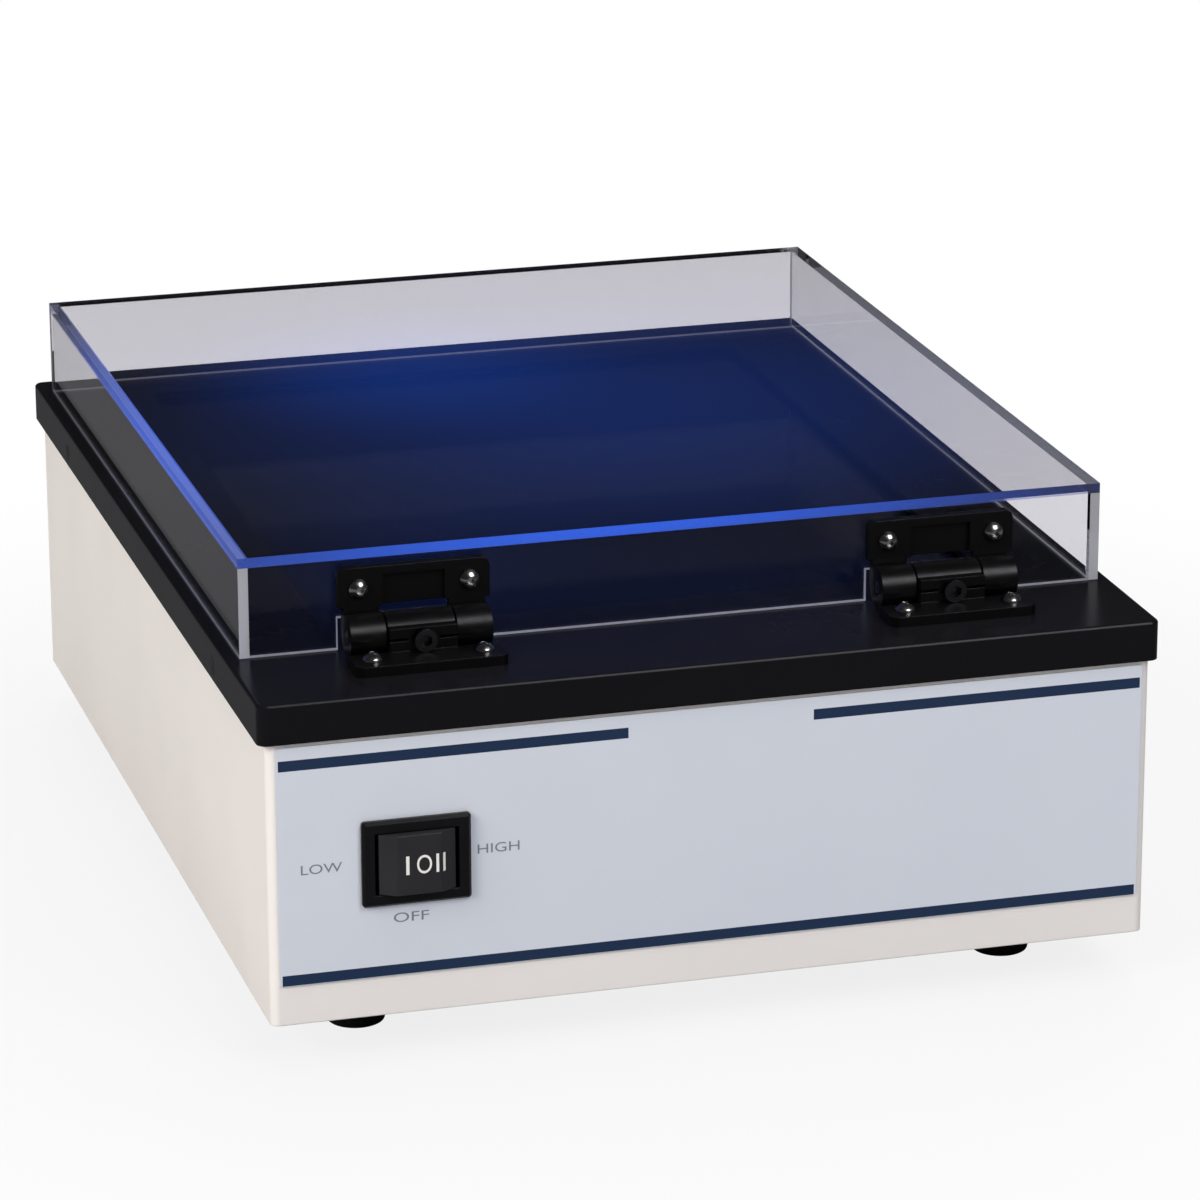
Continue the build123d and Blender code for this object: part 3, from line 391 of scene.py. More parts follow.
@dataclass(frozen=True)
class Metal(Finish):
    """Bare metal, rolled, turned or plated: bright, with fine drawn lines along one axis.

    Real lines are some hundredths of a millimetre apart. They are drawn coarser, so that they show.
    """

    shades: tuple[str, str] = ("B9BABC", "A9AAAD")
    smooth: float = 0.22
    dull: float = 0.34
    line_mm: float = 0.25
    stretch: tuple[float, float, float] = (1.0, 0.06, 1.0)
    relief: float = 0.12
    edge_mm: float = 0.15
    drift_mm: float = 15.0
    wear_mm: float = 1.5

    def surface(self, tree: Tree, place: Socket) -> Socket:
        """Build the metal, its wear and lines drawn out along one axis.

        Args:
            tree: the material's tree.
            place: object coordinates, in metres.

        Returns:
            The shader socket for the surface.
        """
        mapping = add_node(tree, "ShaderNodeMapping", {"Scale": self.stretch}, {"Vector": place})
        drawn = mapping.outputs["Vector"]
        shader = add_node(
            tree, "ShaderNodeBsdfPrincipled",
            {"Metallic": 1.0},
            {
                "Base Color": mottled(tree, place, self.shades, self.drift_mm),
                "Roughness": worn_roughness(tree, drawn, self.smooth, self.dull, self.wear_mm),
                "Normal": grained(tree, drawn, self.line_mm, self.relief, self.edge_mm),
            },
        )
        return shader.outputs["BSDF"]


@dataclass(frozen=True)
class PaintedLightPatch:
    """One soft round patch of painted light, by its middle, its reach and its share of the whole."""

    centre_mm: tuple[float, float, float]
    reach_mm: float
    share: float


@dataclass(frozen=True)
class PaintedLight:
    """Painted light on a sheet: soft round patches of emission that add up, where the sheet looks lit."""

    colour: str
    strength: float
    patches: tuple[PaintedLightPatch, ...]


@dataclass(frozen=True)
class Acrylic(Finish):
    """Cast acrylic sheet, polished on its faces: clear and a little lavender, with painted light laid on as
    emission where it is given some.

    It bends light less than the 1.49 of real acrylic, because at 1.49 the walls come out darker than the
    real ones do.
    """

    tint: str = "FBFAFE"
    roughness: float = 0.0
    clearness: float = 1.0
    bend: float = 1.36
    painted_light: PaintedLight | None = None

    def surface(self, tree: Tree, place: Socket) -> Socket:
        """Build the sheet, with its painted light where it has some.

        Args:
            tree: the material's tree.
            place: object coordinates, in metres.

        Returns:
            The shader socket for the surface.
        """
        settings = {
            "Base Color": linear(self.tint), "Roughness": self.roughness, "IOR": self.bend,
            "Transmission Weight": self.clearness,
        }
        links = {}
        # Painted light: emission laid on the sheet in soft patches, standing in for the lamps' light in the
        # acrylic.
        if self.painted_light is not None:
            settings["Emission Strength"] = self.painted_light.strength
            links["Emission Color"] = self.painted_light_colour(tree, place, self.painted_light)
        shader = add_node(tree, "ShaderNodeBsdfPrincipled", settings, links)
        return shader.outputs["BSDF"]

    @staticmethod
    def painted_light_colour(tree: Tree, place: Socket, painted_light: PaintedLight) -> Socket:
        """Painted light that fades away from the middle of each patch.

        Args:
            tree: the material's tree.
            place: object coordinates.
            painted_light: colour and patches of the painted light.

        Returns:
            The colour socket.
        """
        total: Socket | None = None
        for patch in painted_light.patches:
            centre = tuple(value * MM for value in patch.centre_mm)
            away = add_node(tree, "ShaderNodeVectorMath", {"operation": "DISTANCE", 1: centre}, {0: place})
            fade = add_node(
                tree, "ShaderNodeMapRange",
                {"interpolation_type": "SMOOTHSTEP", "From Min": 0.0, "From Max": patch.reach_mm * MM,
                 "To Min": patch.share, "To Max": 0.0},
                {"Value": away.outputs["Value"]},
            ).outputs["Result"]
            if total is None:
                total = fade
                continue
            both = add_node(tree, "ShaderNodeMath", {"operation": "ADD"}, {0: total, 1: fade})
            total = both.outputs["Value"]
        mix = add_node(
            tree, "ShaderNodeMix", {"data_type": "RGBA", 6: BLACK, 7: linear(painted_light.colour)}, {0: total})
        return mix.outputs[2]


@dataclass(frozen=True)
class PolishedGlass(Finish):
    """Polished coloured glass, opaque to the eye: black to violet, with a mirror-like face."""

    shades: tuple[str, str] = ("07070F", "0A0A16")
    roughness: float = 0.04
    drift_mm: float = 80.0
    ripple_mm: float = 60.0
    ripple: float = 0.01
    edge_mm: float = 0.2
    gloss: float = 0.35
    bend: float = 1.52

    def surface(self, tree: Tree, place: Socket) -> Socket:
        """Build the glass, with the faint long ripple of a drawn plate.

        Args:
            tree: the material's tree.
            place: object coordinates, in metres.

        Returns:
            The shader socket for the surface.
        """
        shader = add_node(
            tree, "ShaderNodeBsdfPrincipled",
            {"Roughness": self.roughness, "IOR": self.bend, "Specular IOR Level": self.gloss},
            {
                "Base Color": mottled(tree, place, self.shades, self.drift_mm),
                "Normal": grained(tree, place, self.ripple_mm, self.ripple, self.edge_mm),
            },
        )
        return shader.outputs["BSDF"]


@dataclass(frozen=True)
class Ink(Finish):
    """Screen-printed ink: thin, flat and matt, with a slightly uneven cover."""

    shades: tuple[str, str] = ("6C7480", "7A828E")
    roughness: float = 0.55
    drift_mm: float = 0.8
    gloss: float = 0.3
    bend: float = 1.5

    def surface(self, tree: Tree, place: Socket) -> Socket:
        """Build the ink.

        Args:
            tree: the material's tree.
            place: object coordinates, in metres.

        Returns:
            The shader socket for the surface.
        """
        shader = add_node(
            tree, "ShaderNodeBsdfPrincipled",
            {"Roughness": self.roughness, "IOR": self.bend, "Specular IOR Level": self.gloss},
            {"Base Color": mottled(tree, place, self.shades, self.drift_mm)},
        )
        return shader.outputs["BSDF"]


# Height of the middle of the cover's top sheet.
TOP_SHEET_MM = 140.9


class Paint:
    """Every finish on the instrument, by the thing it covers."""

    # Sheet metal: warm white satin powder coat on the housing, deep black enamel on the plate.
    housing = PowderCoat("powder_coated_steel_warm_white")
    plate = BlackEnamel("baked_enamel_semi_gloss_black")

    # Nylon mouldings: a charcoal rocker in a darker bezel, and hinges dull with glass fibre.
    rocker = MouldedPlastic(
        "moulded_nylon_charcoal", ("242326", "2B2A2D"), 0.30, 0.42,
        grain_mm=0.35, relief=0.3, edge_mm=0.5, gloss=0.4)
    bezel = MouldedPlastic(
        "moulded_nylon_black", ("0A0A0C", "0E0E10"), 0.25, 0.36, edge_mm=0.4, gloss=0.35)
    hinge = MouldedPlastic(
        "glass_filled_nylon_black", ("050506", "080809"), 0.28, 0.40, grain_mm=0.4, relief=0.3, gloss=0.25)

    # Mouldings at the back and inside: plain black and plain white, neither of them polished.
    inlet = MouldedPlastic("moulded_thermoplastic_black", ("101012", "161618"), 0.30, 0.40)
    fan = MouldedPlastic("moulded_polyester_black", ("141415", "1A1A1B"), 0.35, 0.5, grain_mm=0.7)
    white_moulding = MouldedPlastic(
        "moulded_polycarbonate_white", ("E6E5E0", "DDDCD6"), 0.3, 0.42, edge_mm=0.6)

    # Rubber and foam: matt, with edges that take no highlight.
    rubber = MouldedPlastic(
        "moulded_rubber_black", ("131313", "1B1B1B"), 0.65, 0.8,
        grain_mm=0.9, relief=0.5, edge_mm=0.8, gloss=0.3)
    foam = MouldedPlastic(
        "closed_cell_foam_black", ("161616", "202020"), 0.8, 0.95, grain_mm=0.6, relief=0.8, gloss=0.2)

    # Bare metals: softly clouded zinc, bright nickel, blackened steel, dull spring steel, brass, aluminium.
    zinc = Metal(
        "zinc_plated_sheet_steel", ("A7A9AA", "8F9193"), 0.30, 0.48,
        line_mm=3.0, stretch=(1.0, 1.0, 1.0), relief=0.1)
    screw = Metal("nickel_plated_turned_steel", ("D6D5D2", "C2C1BE"), 0.16, 0.28, relief=0.08)
    adjuster = Metal("blackened_turned_steel", ("5A5A5C", "48484A"), 0.24, 0.36)
    spring = Metal("rolled_spring_steel", ("8E9092", "7B7D80"), 0.25, 0.4)
    brass = Metal("stamped_brass", ("C9A75A", "B08F47"), 0.22, 0.36)
    aluminium = Metal("rolled_aluminium", ("D4D5D6", "C3C4C6"), 0.15, 0.3)

    # Glass: a near black mirror in the window, chalky coated tubes, and a clear fuse.
    filter_glass = PolishedGlass("ultraviolet_pass_glass_polished")
    lamp_glass = MouldedPlastic(
        "coated_lamp_glass_drawn", ("D9DAE0", "CFD0D8"), 0.12, 0.2, relief=0.05, edge_mm=0.3)
    fuse_glass = Acrylic("fuse_glass_drawn", "EDF2F1", 0.02)

    # Inks: slate words on the film, white marks on the rocker.
    label_ink = Ink("screen_ink_slate")
    rocker_ink = Ink("pad_printed_ink_white", ("E9E7E2", "DCDAD5"))

    # The cover's acrylic, with painted light: an emission of the lamps' blue on the top sheet over the
    # window, a stronger blue emission on the cut edges round it, most along the front and the left, and a
    # little white emission on the ground lower edges.
    wall_face = Acrylic("cast_acrylic_polished_wall")
    top_face_painted_light = Acrylic(
        "cast_acrylic_polished_top_painted_light",
        painted_light=PaintedLight("0665FF", 0.086, (
            PaintedLightPatch((15.0, -5.0, TOP_SHEET_MM), 200.0, 0.55),
            PaintedLightPatch((-40.0, 52.0, TOP_SHEET_MM), 85.0, 0.45),
        )))
    edge_painted_light = Acrylic(
        "cast_acrylic_cut_edge_painted_light", "9A9CB4", 0.12, 0.9,
        painted_light=PaintedLight("1C66FF", 0.85, (
            PaintedLightPatch((-30.0, -110.0, TOP_SHEET_MM), 190.0, 0.7),
            PaintedLightPatch((-115.0, 20.0, TOP_SHEET_MM), 150.0, 0.45),
        )))
    cut_edge = Acrylic("cast_acrylic_cut_edge", "C9CAD0", 0.35, 0.45)
    ground_edge_painted_light = Acrylic(
        "cast_acrylic_ground_edge_painted_light", "C9CAD0", 0.35, 0.45,
        painted_light=PaintedLight("E6E8F4", 0.2, (PaintedLightPatch((0.0, -130.0, 115.0), 900.0, 1.0),)))


def dress(node: str, finish: Finish) -> None:
    """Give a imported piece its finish.

    Args:
        node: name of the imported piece.
        finish: the finish that covers it.
    """
    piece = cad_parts[node]
    piece.data.materials.clear()
    piece.data.materials.append(finish.material())
    log.info("dressed %s in %s", node, finish.name)


def dress_all(nodes: Iterable[str], finish: Finish) -> None:
    """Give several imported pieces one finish."""
    for node in nodes:
        dress(node, finish)


def link_mesh(name: str, mesh: bpy.types.Mesh, finishes: Sequence[Finish] = ()) -> bpy.types.Object:
    """Put a mesh into the scene as an object at the origin.

    Args:
        name: name of the piece.
        mesh: its mesh, in place.
        finishes: finishes of its material slots, in order.

    Returns:
        The new object.
    """
    mesh.name = name
    for finish in finishes:
        mesh.materials.append(finish.material())
    piece = bpy.data.objects.new(name, mesh)
    bpy.context.scene.collection.objects.link(piece)
    return piece


def baked(piece: bpy.types.Object) -> bpy.types.Mesh:
    """Apply an object's modifiers and curves.

    Args:
        piece: the object to evaluate.

    Returns:
        A new plain mesh of the result.
    """
    graph = bpy.context.evaluated_depsgraph_get()
    graph.update()
    return bpy.data.meshes.new_from_object(piece.evaluated_get(graph))


def smooth_by_angle(mesh: bpy.types.Mesh, degrees: float = 35.0) -> None:
    """Shade a mesh smooth, with its sharp edges kept.

    Args:
        mesh: the mesh to shade.
        degrees: the angle from which an edge is sharp.
    """
    for face in mesh.polygons:
        face.use_smooth = True
    mesh.set_sharp_from_angle(angle=math.radians(degrees))


def corners(points: Sequence[Vector]) -> tuple[Vector, Vector]:
    """Lowest and highest corner of the box round some points.

    Args:
        points: the points.

    Returns:
        The two corners.
    """
    low = Vector([min(point[axis] for point in points) for axis in range(3)])
    high = Vector([max(point[axis] for point in points) for axis in range(3)])
    return low, high


def islands(node: str) -> list[tuple[Vector, Vector]]:
    """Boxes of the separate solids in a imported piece.

    Args:
        node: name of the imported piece.

    Returns:
        The lowest and highest corner of each solid, from left to right.
    """
    work = bmesh.new()
    work.from_mesh(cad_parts[node].data)
    bmesh.ops.remove_doubles(work, verts=work.verts, dist=SAME_POINT_MM * MM)
    left = set(work.verts)
    boxes = []
    while left:
        group = [left.pop()]
        for vert in group:
            for edge in vert.link_edges:
                other = edge.other_vert(vert)
                if other in left:
                    left.remove(other)
                    group.append(other)
        boxes.append(corners([vert.co for vert in group]))
    work.free()
    return sorted(boxes, key=lambda box: tuple(round(value, SORT_DIGITS) for value in box[0]))


class Drive(Enum):
    """Recess in a screw's head: its number of points, and the inner radius as a share of the outer one."""

    HEX_SOCKET = (3, 1.0)
    CROSS = (4, 0.36)


class Facing(Enum):
    """The way a fastener's head points."""

    FRONT = (0.0, -1.0, 0.0)
    UP = (0.0, 0.0, 1.0)
    DOWN = (0.0, 0.0, -1.0)

    def turn(self) -> Vector:
        """Rotation that takes +Z to this direction, as Euler angles."""
        return Vector(Vector(self.value).to_track_quat("Z", "Y").to_euler())

    def reach(self, box: tuple[Vector, Vector]) -> Vector:
        """Point at the middle of a box's face on this side.

        Args:
            box: lowest and highest corner.

        Returns:
            The point.
        """
        low, high = box
        middle = (low + high) / 2
        half = (high - low) / 2
        return middle + Vector([half[axis] * self.value[axis] for axis in range(3)])


@dataclass(frozen=True)
class ScrewForm:
    """Sizes of one kind of screw, in millimetres. The crown is the radius of the head's dome."""

    head_radius: float
    head_height: float
    crown: float
    drive: Drive
    drive_outer: float
    drive_depth: float
    shank_radius: float = 1.5


class ScrewKind(Enum):
    """The kinds of screw on the instrument."""

    HINGE_BUTTON = ScrewForm(
        head_radius=3.0, head_height=2.3, crown=3.6,
        drive=Drive.HEX_SOCKET, drive_outer=1.15, drive_depth=1.3)
    FOOT_PAN = ScrewForm(
        head_radius=3.0, head_height=2.3, crown=4.2,
        drive=Drive.CROSS, drive_outer=1.9, drive_depth=1.4)
    TRAY_PAN = ScrewForm(
        head_radius=2.8, head_height=1.8, crown=4.0,
        drive=Drive.CROSS, drive_outer=1.8, drive_depth=1.2)


@dataclass
class ScrewTree:
    """Geometry Nodes tree that puts one screw at each vertex of a mesh, with its head's top at the vertex."""

    name: str = "screws_on_points"
    head_facets: int = 40
    shank_facets: int = 24
    inputs: tuple[tuple[str, str], ...] = (
        ("Head Radius", "NodeSocketFloat"), ("Head Height", "NodeSocketFloat"),
        ("Crown", "NodeSocketFloat"), ("Drive Points", "NodeSocketInt"),
        ("Drive Inner", "NodeSocketFloat"), ("Drive Outer", "NodeSocketFloat"),
        ("Drive Depth", "NodeSocketFloat"), ("Shank Radius", "NodeSocketFloat"),
        ("Length", "NodeSocketFloat"), ("Turn", "NodeSocketVector"), ("Finish", "NodeSocketMaterial"),
    )

    def tree(self) -> Tree:
        """Build the tree once.

        Returns:
            The tree, which every set of screws shares.
        """
        made = bpy.data.node_groups.get(self.name)
        if made is not None:
            return made
        made = bpy.data.node_groups.new(self.name, "GeometryNodeTree")
        face = made.interface
        face.new_socket(name="Geometry", in_out="INPUT", socket_type="NodeSocketGeometry")
        face.new_socket(name="Geometry", in_out="OUTPUT", socket_type="NodeSocketGeometry")
        for label, kind in self.inputs:
            face.new_socket(name=label, in_out="INPUT", socket_type=kind)
        given = add_node(made, "NodeGroupInput").outputs
        screw = self.screw(made, given)
        placed = add_node(
            made, "GeometryNodeInstanceOnPoints",
            links={"Points": given["Geometry"], "Instance": screw, "Rotation": given["Turn"]},
        )
        real = add_node(made, "GeometryNodeRealizeInstances", links={"Geometry": placed.outputs["Instances"]})
        painted = add_node(
            made, "GeometryNodeSetMaterial",
            links={"Geometry": real.outputs["Geometry"], "Material": given["Finish"]},
        )
        add_node(made, "NodeGroupOutput", links={"Geometry": painted.outputs["Geometry"]})
        return made

    def screw(self, tree: Tree, given: bpy.types.NodeOutputs) -> Socket:
        """Model one screw, head up, with the top of its head at the origin.

        Args:
            tree: the tree that takes the nodes.
            given: the group's inputs.

        Returns:
            The geometry socket.
        """
        head = add_node(
            tree, "GeometryNodeMeshBoolean", {"operation": "DIFFERENCE"},
            {0: self.dome(tree, given), 1: self.recess(tree, given)},
        )
        shank = add_node(
            tree, "GeometryNodeMeshCylinder", {"Vertices": self.shank_facets},
            {"Radius": given["Shank Radius"], "Depth": given["Length"]},
        )
        hung = self.sunk(tree, shank.outputs["Mesh"], given["Length"], 0.5)
        under_head = self.sunk(tree, hung, given["Head Height"], 1.0)
        joined = add_node(tree, "GeometryNodeJoinGeometry", links={0: under_head})
        tree.links.new(head.outputs["Mesh"], joined.inputs[0])
        return joined.outputs["Geometry"]

    def dome(self, tree: Tree, given: bpy.types.NodeOutputs) -> Socket:
        """Model the head: what a round disc and a ball have in common.

        Args:
            tree: the tree that takes the nodes.
            given: the group's inputs.

        Returns:
            The geometry socket.
        """
        disc = add_node(
            tree, "GeometryNodeMeshCylinder", {"Vertices": self.head_facets},
            {"Radius": given["Head Radius"], "Depth": given["Head Height"]},
        )
        ball = add_node(
            tree, "GeometryNodeMeshUVSphere", {"Segments": self.head_facets, "Rings": self.head_facets},
            {"Radius": given["Crown"]},
        )
        shared = add_node(
            tree, "GeometryNodeMeshBoolean", {"operation": "INTERSECT"},
            {1: self.sunk(tree, disc.outputs["Mesh"], given["Head Height"], 0.5)},
        )
        tree.links.new(self.sunk(tree, ball.outputs["Mesh"], given["Crown"], 1.0), shared.inputs[1])
        return shared.outputs["Mesh"]

    @staticmethod
    def recess(tree: Tree, given: bpy.types.NodeOutputs) -> Socket:
        """Model the drive's recess as a star-shaped bar that stands 1 mm out of the head.

        Args:
            tree: the tree that takes the nodes.
            given: the group's inputs.

        Returns:
            The geometry socket.
        """
        star = add_node(
            tree, "GeometryNodeCurveStar",
            links={"Points": given["Drive Points"], "Inner Radius": given["Drive Inner"],
                   "Outer Radius": given["Drive Outer"]},
        )
        deep = add_node(tree, "ShaderNodeMath", {"operation": "MULTIPLY", 1: -1.0}, {0: given["Drive Depth"]})
        bottom = add_node(tree, "ShaderNodeCombineXYZ", links={"Z": deep.outputs["Value"]})
        axis = add_node(
            tree, "GeometryNodeCurvePrimitiveLine",
            {"End": (0.0, 0.0, MM)}, {"Start": bottom.outputs["Vector"]},
        )
        bar = add_node(
            tree, "GeometryNodeCurveToMesh", {"Fill Caps": True},
            {"Curve": axis.outputs["Curve"], "Profile Curve": star.outputs["Curve"]},
        )
        return bar.outputs["Mesh"]

    @staticmethod
    def sunk(tree: Tree, shape: Socket, distance: Socket, share: float) -> Socket:
        """Move a shape straight down.

        Args:
            tree: the tree that takes the nodes.
            shape: the shape's geometry.
            distance: a length that the tree is given.
            share: how much of that length the shape moves.

        Returns:
            The moved geometry.
        """
        down = add_node(tree, "ShaderNodeMath", {"operation": "MULTIPLY", 1: -share}, {0: distance})
        way = add_node(tree, "ShaderNodeCombineXYZ", links={"Z": down.outputs["Value"]})
        moved = add_node(
            tree, "GeometryNodeTransform", links={"Geometry": shape, "Translation": way.outputs["Vector"]})
        return moved.outputs["Geometry"]


@dataclass
class ScrewSet:
    """One set of like screws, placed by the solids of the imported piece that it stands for."""

    node: str
    body: str
    facing: Facing
    kind: ScrewKind
    slot: str = "screw_steel"
    finish: Finish = Paint.screw

    def build(self) -> bpy.types.Object:
        """Make the screws as one plain mesh.

        Returns:
            The finished piece, riding on its body.
        """
        boxes = islands(self.node)
        points = bpy.data.meshes.new(self.node + "_points")
        points.from_pydata([self.facing.reach(box) for box in boxes], [], [])
        carrier = link_mesh(self.node + "_carrier", points)
        values = self.values(boxes[0])
        tree = ScrewTree().tree()
        modifier = carrier.modifiers.new("screws", "NODES")
        modifier.node_group = tree
        for item in tree.interface.items_tree:
            if item.in_out == "INPUT" and item.name in values:
                modifier[item.identifier] = values[item.name]
        mesh = baked(carrier)
        bpy.data.objects.remove(carrier)
        smooth_by_angle(mesh)
        piece = link_mesh(self.node + "_turned", mesh)
        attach(piece, self.body)
        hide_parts(self.node)
        log.info("made %s: %d screws", piece.name, len(boxes))
        return piece

    def values(self, box: tuple[Vector, Vector]) -> dict[str, Any]:
        """Work out the tree's inputs, with the length from one packed screw.

        Args:
            box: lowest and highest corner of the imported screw.

        Returns:
            The values by the names of the inputs.
        """
        form = self.kind.value
        star_points, inner = form.drive.value
        low, high = box
        full = max(abs((high - low)[axis] * self.facing.value[axis]) for axis in range(3))
        return {
            "Head Radius": form.head_radius * MM, "Head Height": form.head_height * MM,
            "Crown": form.crown * MM, "Drive Points": star_points,
            "Drive Inner": form.drive_outer * inner * MM, "Drive Outer": form.drive_outer * MM,
            "Drive Depth": form.drive_depth * MM, "Shank Radius": form.shank_radius * MM,
            "Length": full - form.head_height * MM, "Turn": self.facing.turn(),
            "Finish": self.finish.material(),
        }


@dataclass
class Lettering:
    """One short printed word or mark on a face that looks forwards."""

    text: str
    centre: tuple[float, float, float]
    width: float
    height: float
    finish: Finish
    thickness: float = 0.03
    curve_steps: int = 6
    blank_depth: float = 0.01

    def build(self, name: str) -> bpy.types.Object:
        """Make the letters as a thin mesh.

        Args:
            name: name of the piece.

        Returns:
            The piece, in place.
        """
        curve = bpy.data.curves.new(name, "FONT")
        curve.body = self.text
        curve.align_x = "CENTER"
        curve.align_y = "CENTER"
        curve.resolution_u = self.curve_steps
        curve.extrude = self.blank_depth
        holder = bpy.data.objects.new(name + "_curve", curve)
        bpy.context.scene.collection.objects.link(holder)
        mesh = baked(holder)
        bpy.data.objects.remove(holder)
        low, high = corners([vert.co for vert in mesh.vertices])
        span = high - low
        wanted = Vector((self.width * MM, self.height * MM, self.thickness * MM))
        scale = Matrix.Diagonal((wanted.x / span.x, wanted.y / span.y, wanted.z / span.z, 1.0))
        centred = Matrix.Translation(-(low + high) / 2)
        upright = Matrix.Rotation(math.radians(90.0), 4, "X")
        placed = Matrix.Translation(Vector(self.centre) * MM)
        mesh.transform(placed @ upright @ scale @ centred)
        return link_mesh(name, mesh, [self.finish])


@dataclass(frozen=True)
class Legend:
    """One word on the front film, by its middle and its printed size in millimetres."""

    word: str
    x: float
    z: float
    width: float
    height: float = 2.9


@dataclass
class Enclosure:
    """Housing, plate, tray, feet and the printed film on the front."""

    stripe_thickness: float = 3.2
    stripe_top_drop: float = 3.8
    stripe_bottom_rise: float = 0.15
    stripe_inset: float = 0.7
    bare_from: float = -26.7
    bare_to: float = 28.9
    legend_lift: float = 0.005
    legends: tuple[Legend, ...] = (
        Legend("LOW", x=-117.3, z=61.5, width=12.0),
        Legend("OFF", x=-91.3, z=44.2, width=10.4),
        Legend("HIGH", x=-65.4, z=62.5, width=12.4),
    )

    def build(self) -> None:
        """Dress the enclosure and print its film."""
        dress("housing_shell", Paint.housing)
        dress("top_plate", Paint.plate)
        dress("base_tray", Paint.zinc)
        dress_all(("foot_front_left", "foot_front_right", "foot_rear_left", "foot_rear_right"), Paint.rubber)
        dress("front_overlay", self.film())
        self.print_legends()
        ScrewSet("foot_screws", "base", Facing.DOWN, ScrewKind.FOOT_PAN).build()
        ScrewSet("base_screws", "base", Facing.DOWN, ScrewKind.TRAY_PAN).build()
        # These screws are blackened, and look no different from the black nylon of the hinges.
        dress("lid_screws", Paint.hinge)

    def film(self) -> PrintedFilm:
        """Work out the printed stripes from the film's own outline.

        Returns:
            The film's finish.
        """
        low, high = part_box("front_overlay")
        left = low.x / MM + self.stripe_inset
        right = high.x / MM - self.stripe_inset
        top = high.z / MM - self.stripe_top_drop
        bottom = low.z / MM + self.stripe_bottom_rise
        bands = (
            Band(left, self.bare_from, top - self.stripe_thickness, top),
            Band(self.bare_to, right, top - self.stripe_thickness, top),
            Band(left, right, bottom, bottom + self.stripe_thickness),
        )
        return PrintedFilm("back_printed_polyester_film", bands=bands)

    def print_legends(self) -> None:
        """Print the switch's three words on the film."""
        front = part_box("front_overlay")[0].y / MM
        for legend in self.legends:
            place = (legend.x, front - self.legend_lift, legend.z)
            lettering = Lettering(legend.word, place, legend.width, legend.height, Paint.label_ink)
            piece = lettering.build("legend_" + legend.word.lower())
            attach(piece, "base")
            log.info("printed %s", piece.name)


@dataclass
class ControlSwitch:
    """Rocker switch with its bezel, terminals and marks."""

    mark_height: float = 5.6
    bar_width: float = 0.95
    ring_width: float = 4.4
    mark_spacing: float = 4.9
    mark_shift: float = 1.4
    lift: float = 0.02

    def build(self) -> None:
        """Dress the switch and print its marks."""
        dress("switch_housing", Paint.bezel)
        dress("rocker", Paint.rocker)
        dress("switch_terminals", Paint.brass)
        low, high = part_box("rocker")
        centre = (low + high) / 2 / MM
        front = low.y / MM
        # The double bar is two bars and a gap, all of one width.
        marks = (
            ("I", -self.mark_spacing, self.bar_width),
            ("O", 0.0, self.ring_width),
            ("II", self.mark_spacing, 3 * self.bar_width),
        )
        for index, (text, shift, width) in enumerate(marks):
            place = (centre.x + self.mark_shift + shift, front, centre.z)
            lettering = Lettering(text, place, width, self.mark_height, Paint.rocker_ink)
            piece = lettering.build(f"rocker_mark_{index}")
            self.lay_on_rocker(piece.data, low.y)
            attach(piece, "rocker")
            log.info("printed %s", piece.name)

    def lay_on_rocker(self, mesh: bpy.types.Mesh, front: float) -> None:
        """Drop a mark's points onto the curved face of the rocker.

        Args:
            mesh: the mark, level with the front of the rocker.
            front: the rocker's foremost y, in metres.
        """
        work = bmesh.new()
        work.from_mesh(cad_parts["rocker"].data)
        face = BVHTree.FromBMesh(work)
        inwards = Vector((0.0, 1.0, 0.0))
        for vert in mesh.vertices:
            start = Vector((vert.co.x, front - MM, vert.co.z))
            hit = face.ray_cast(start, inwards)[0]
            if hit is not None:
                vert.co.y += hit.y - front - self.lift * MM
        work.free()


class SheetFace(Enum):
    """The kinds of face on the cover's sheets, each with its finish."""

    WALL = Paint.wall_face
    # The top face, the lit edges and the ground edges carry painted light as emission.
    TOP = Paint.top_face_painted_light
    LIT = Paint.edge_painted_light
    CUT = Paint.cut_edge
    GROUND = Paint.ground_edge_painted_light


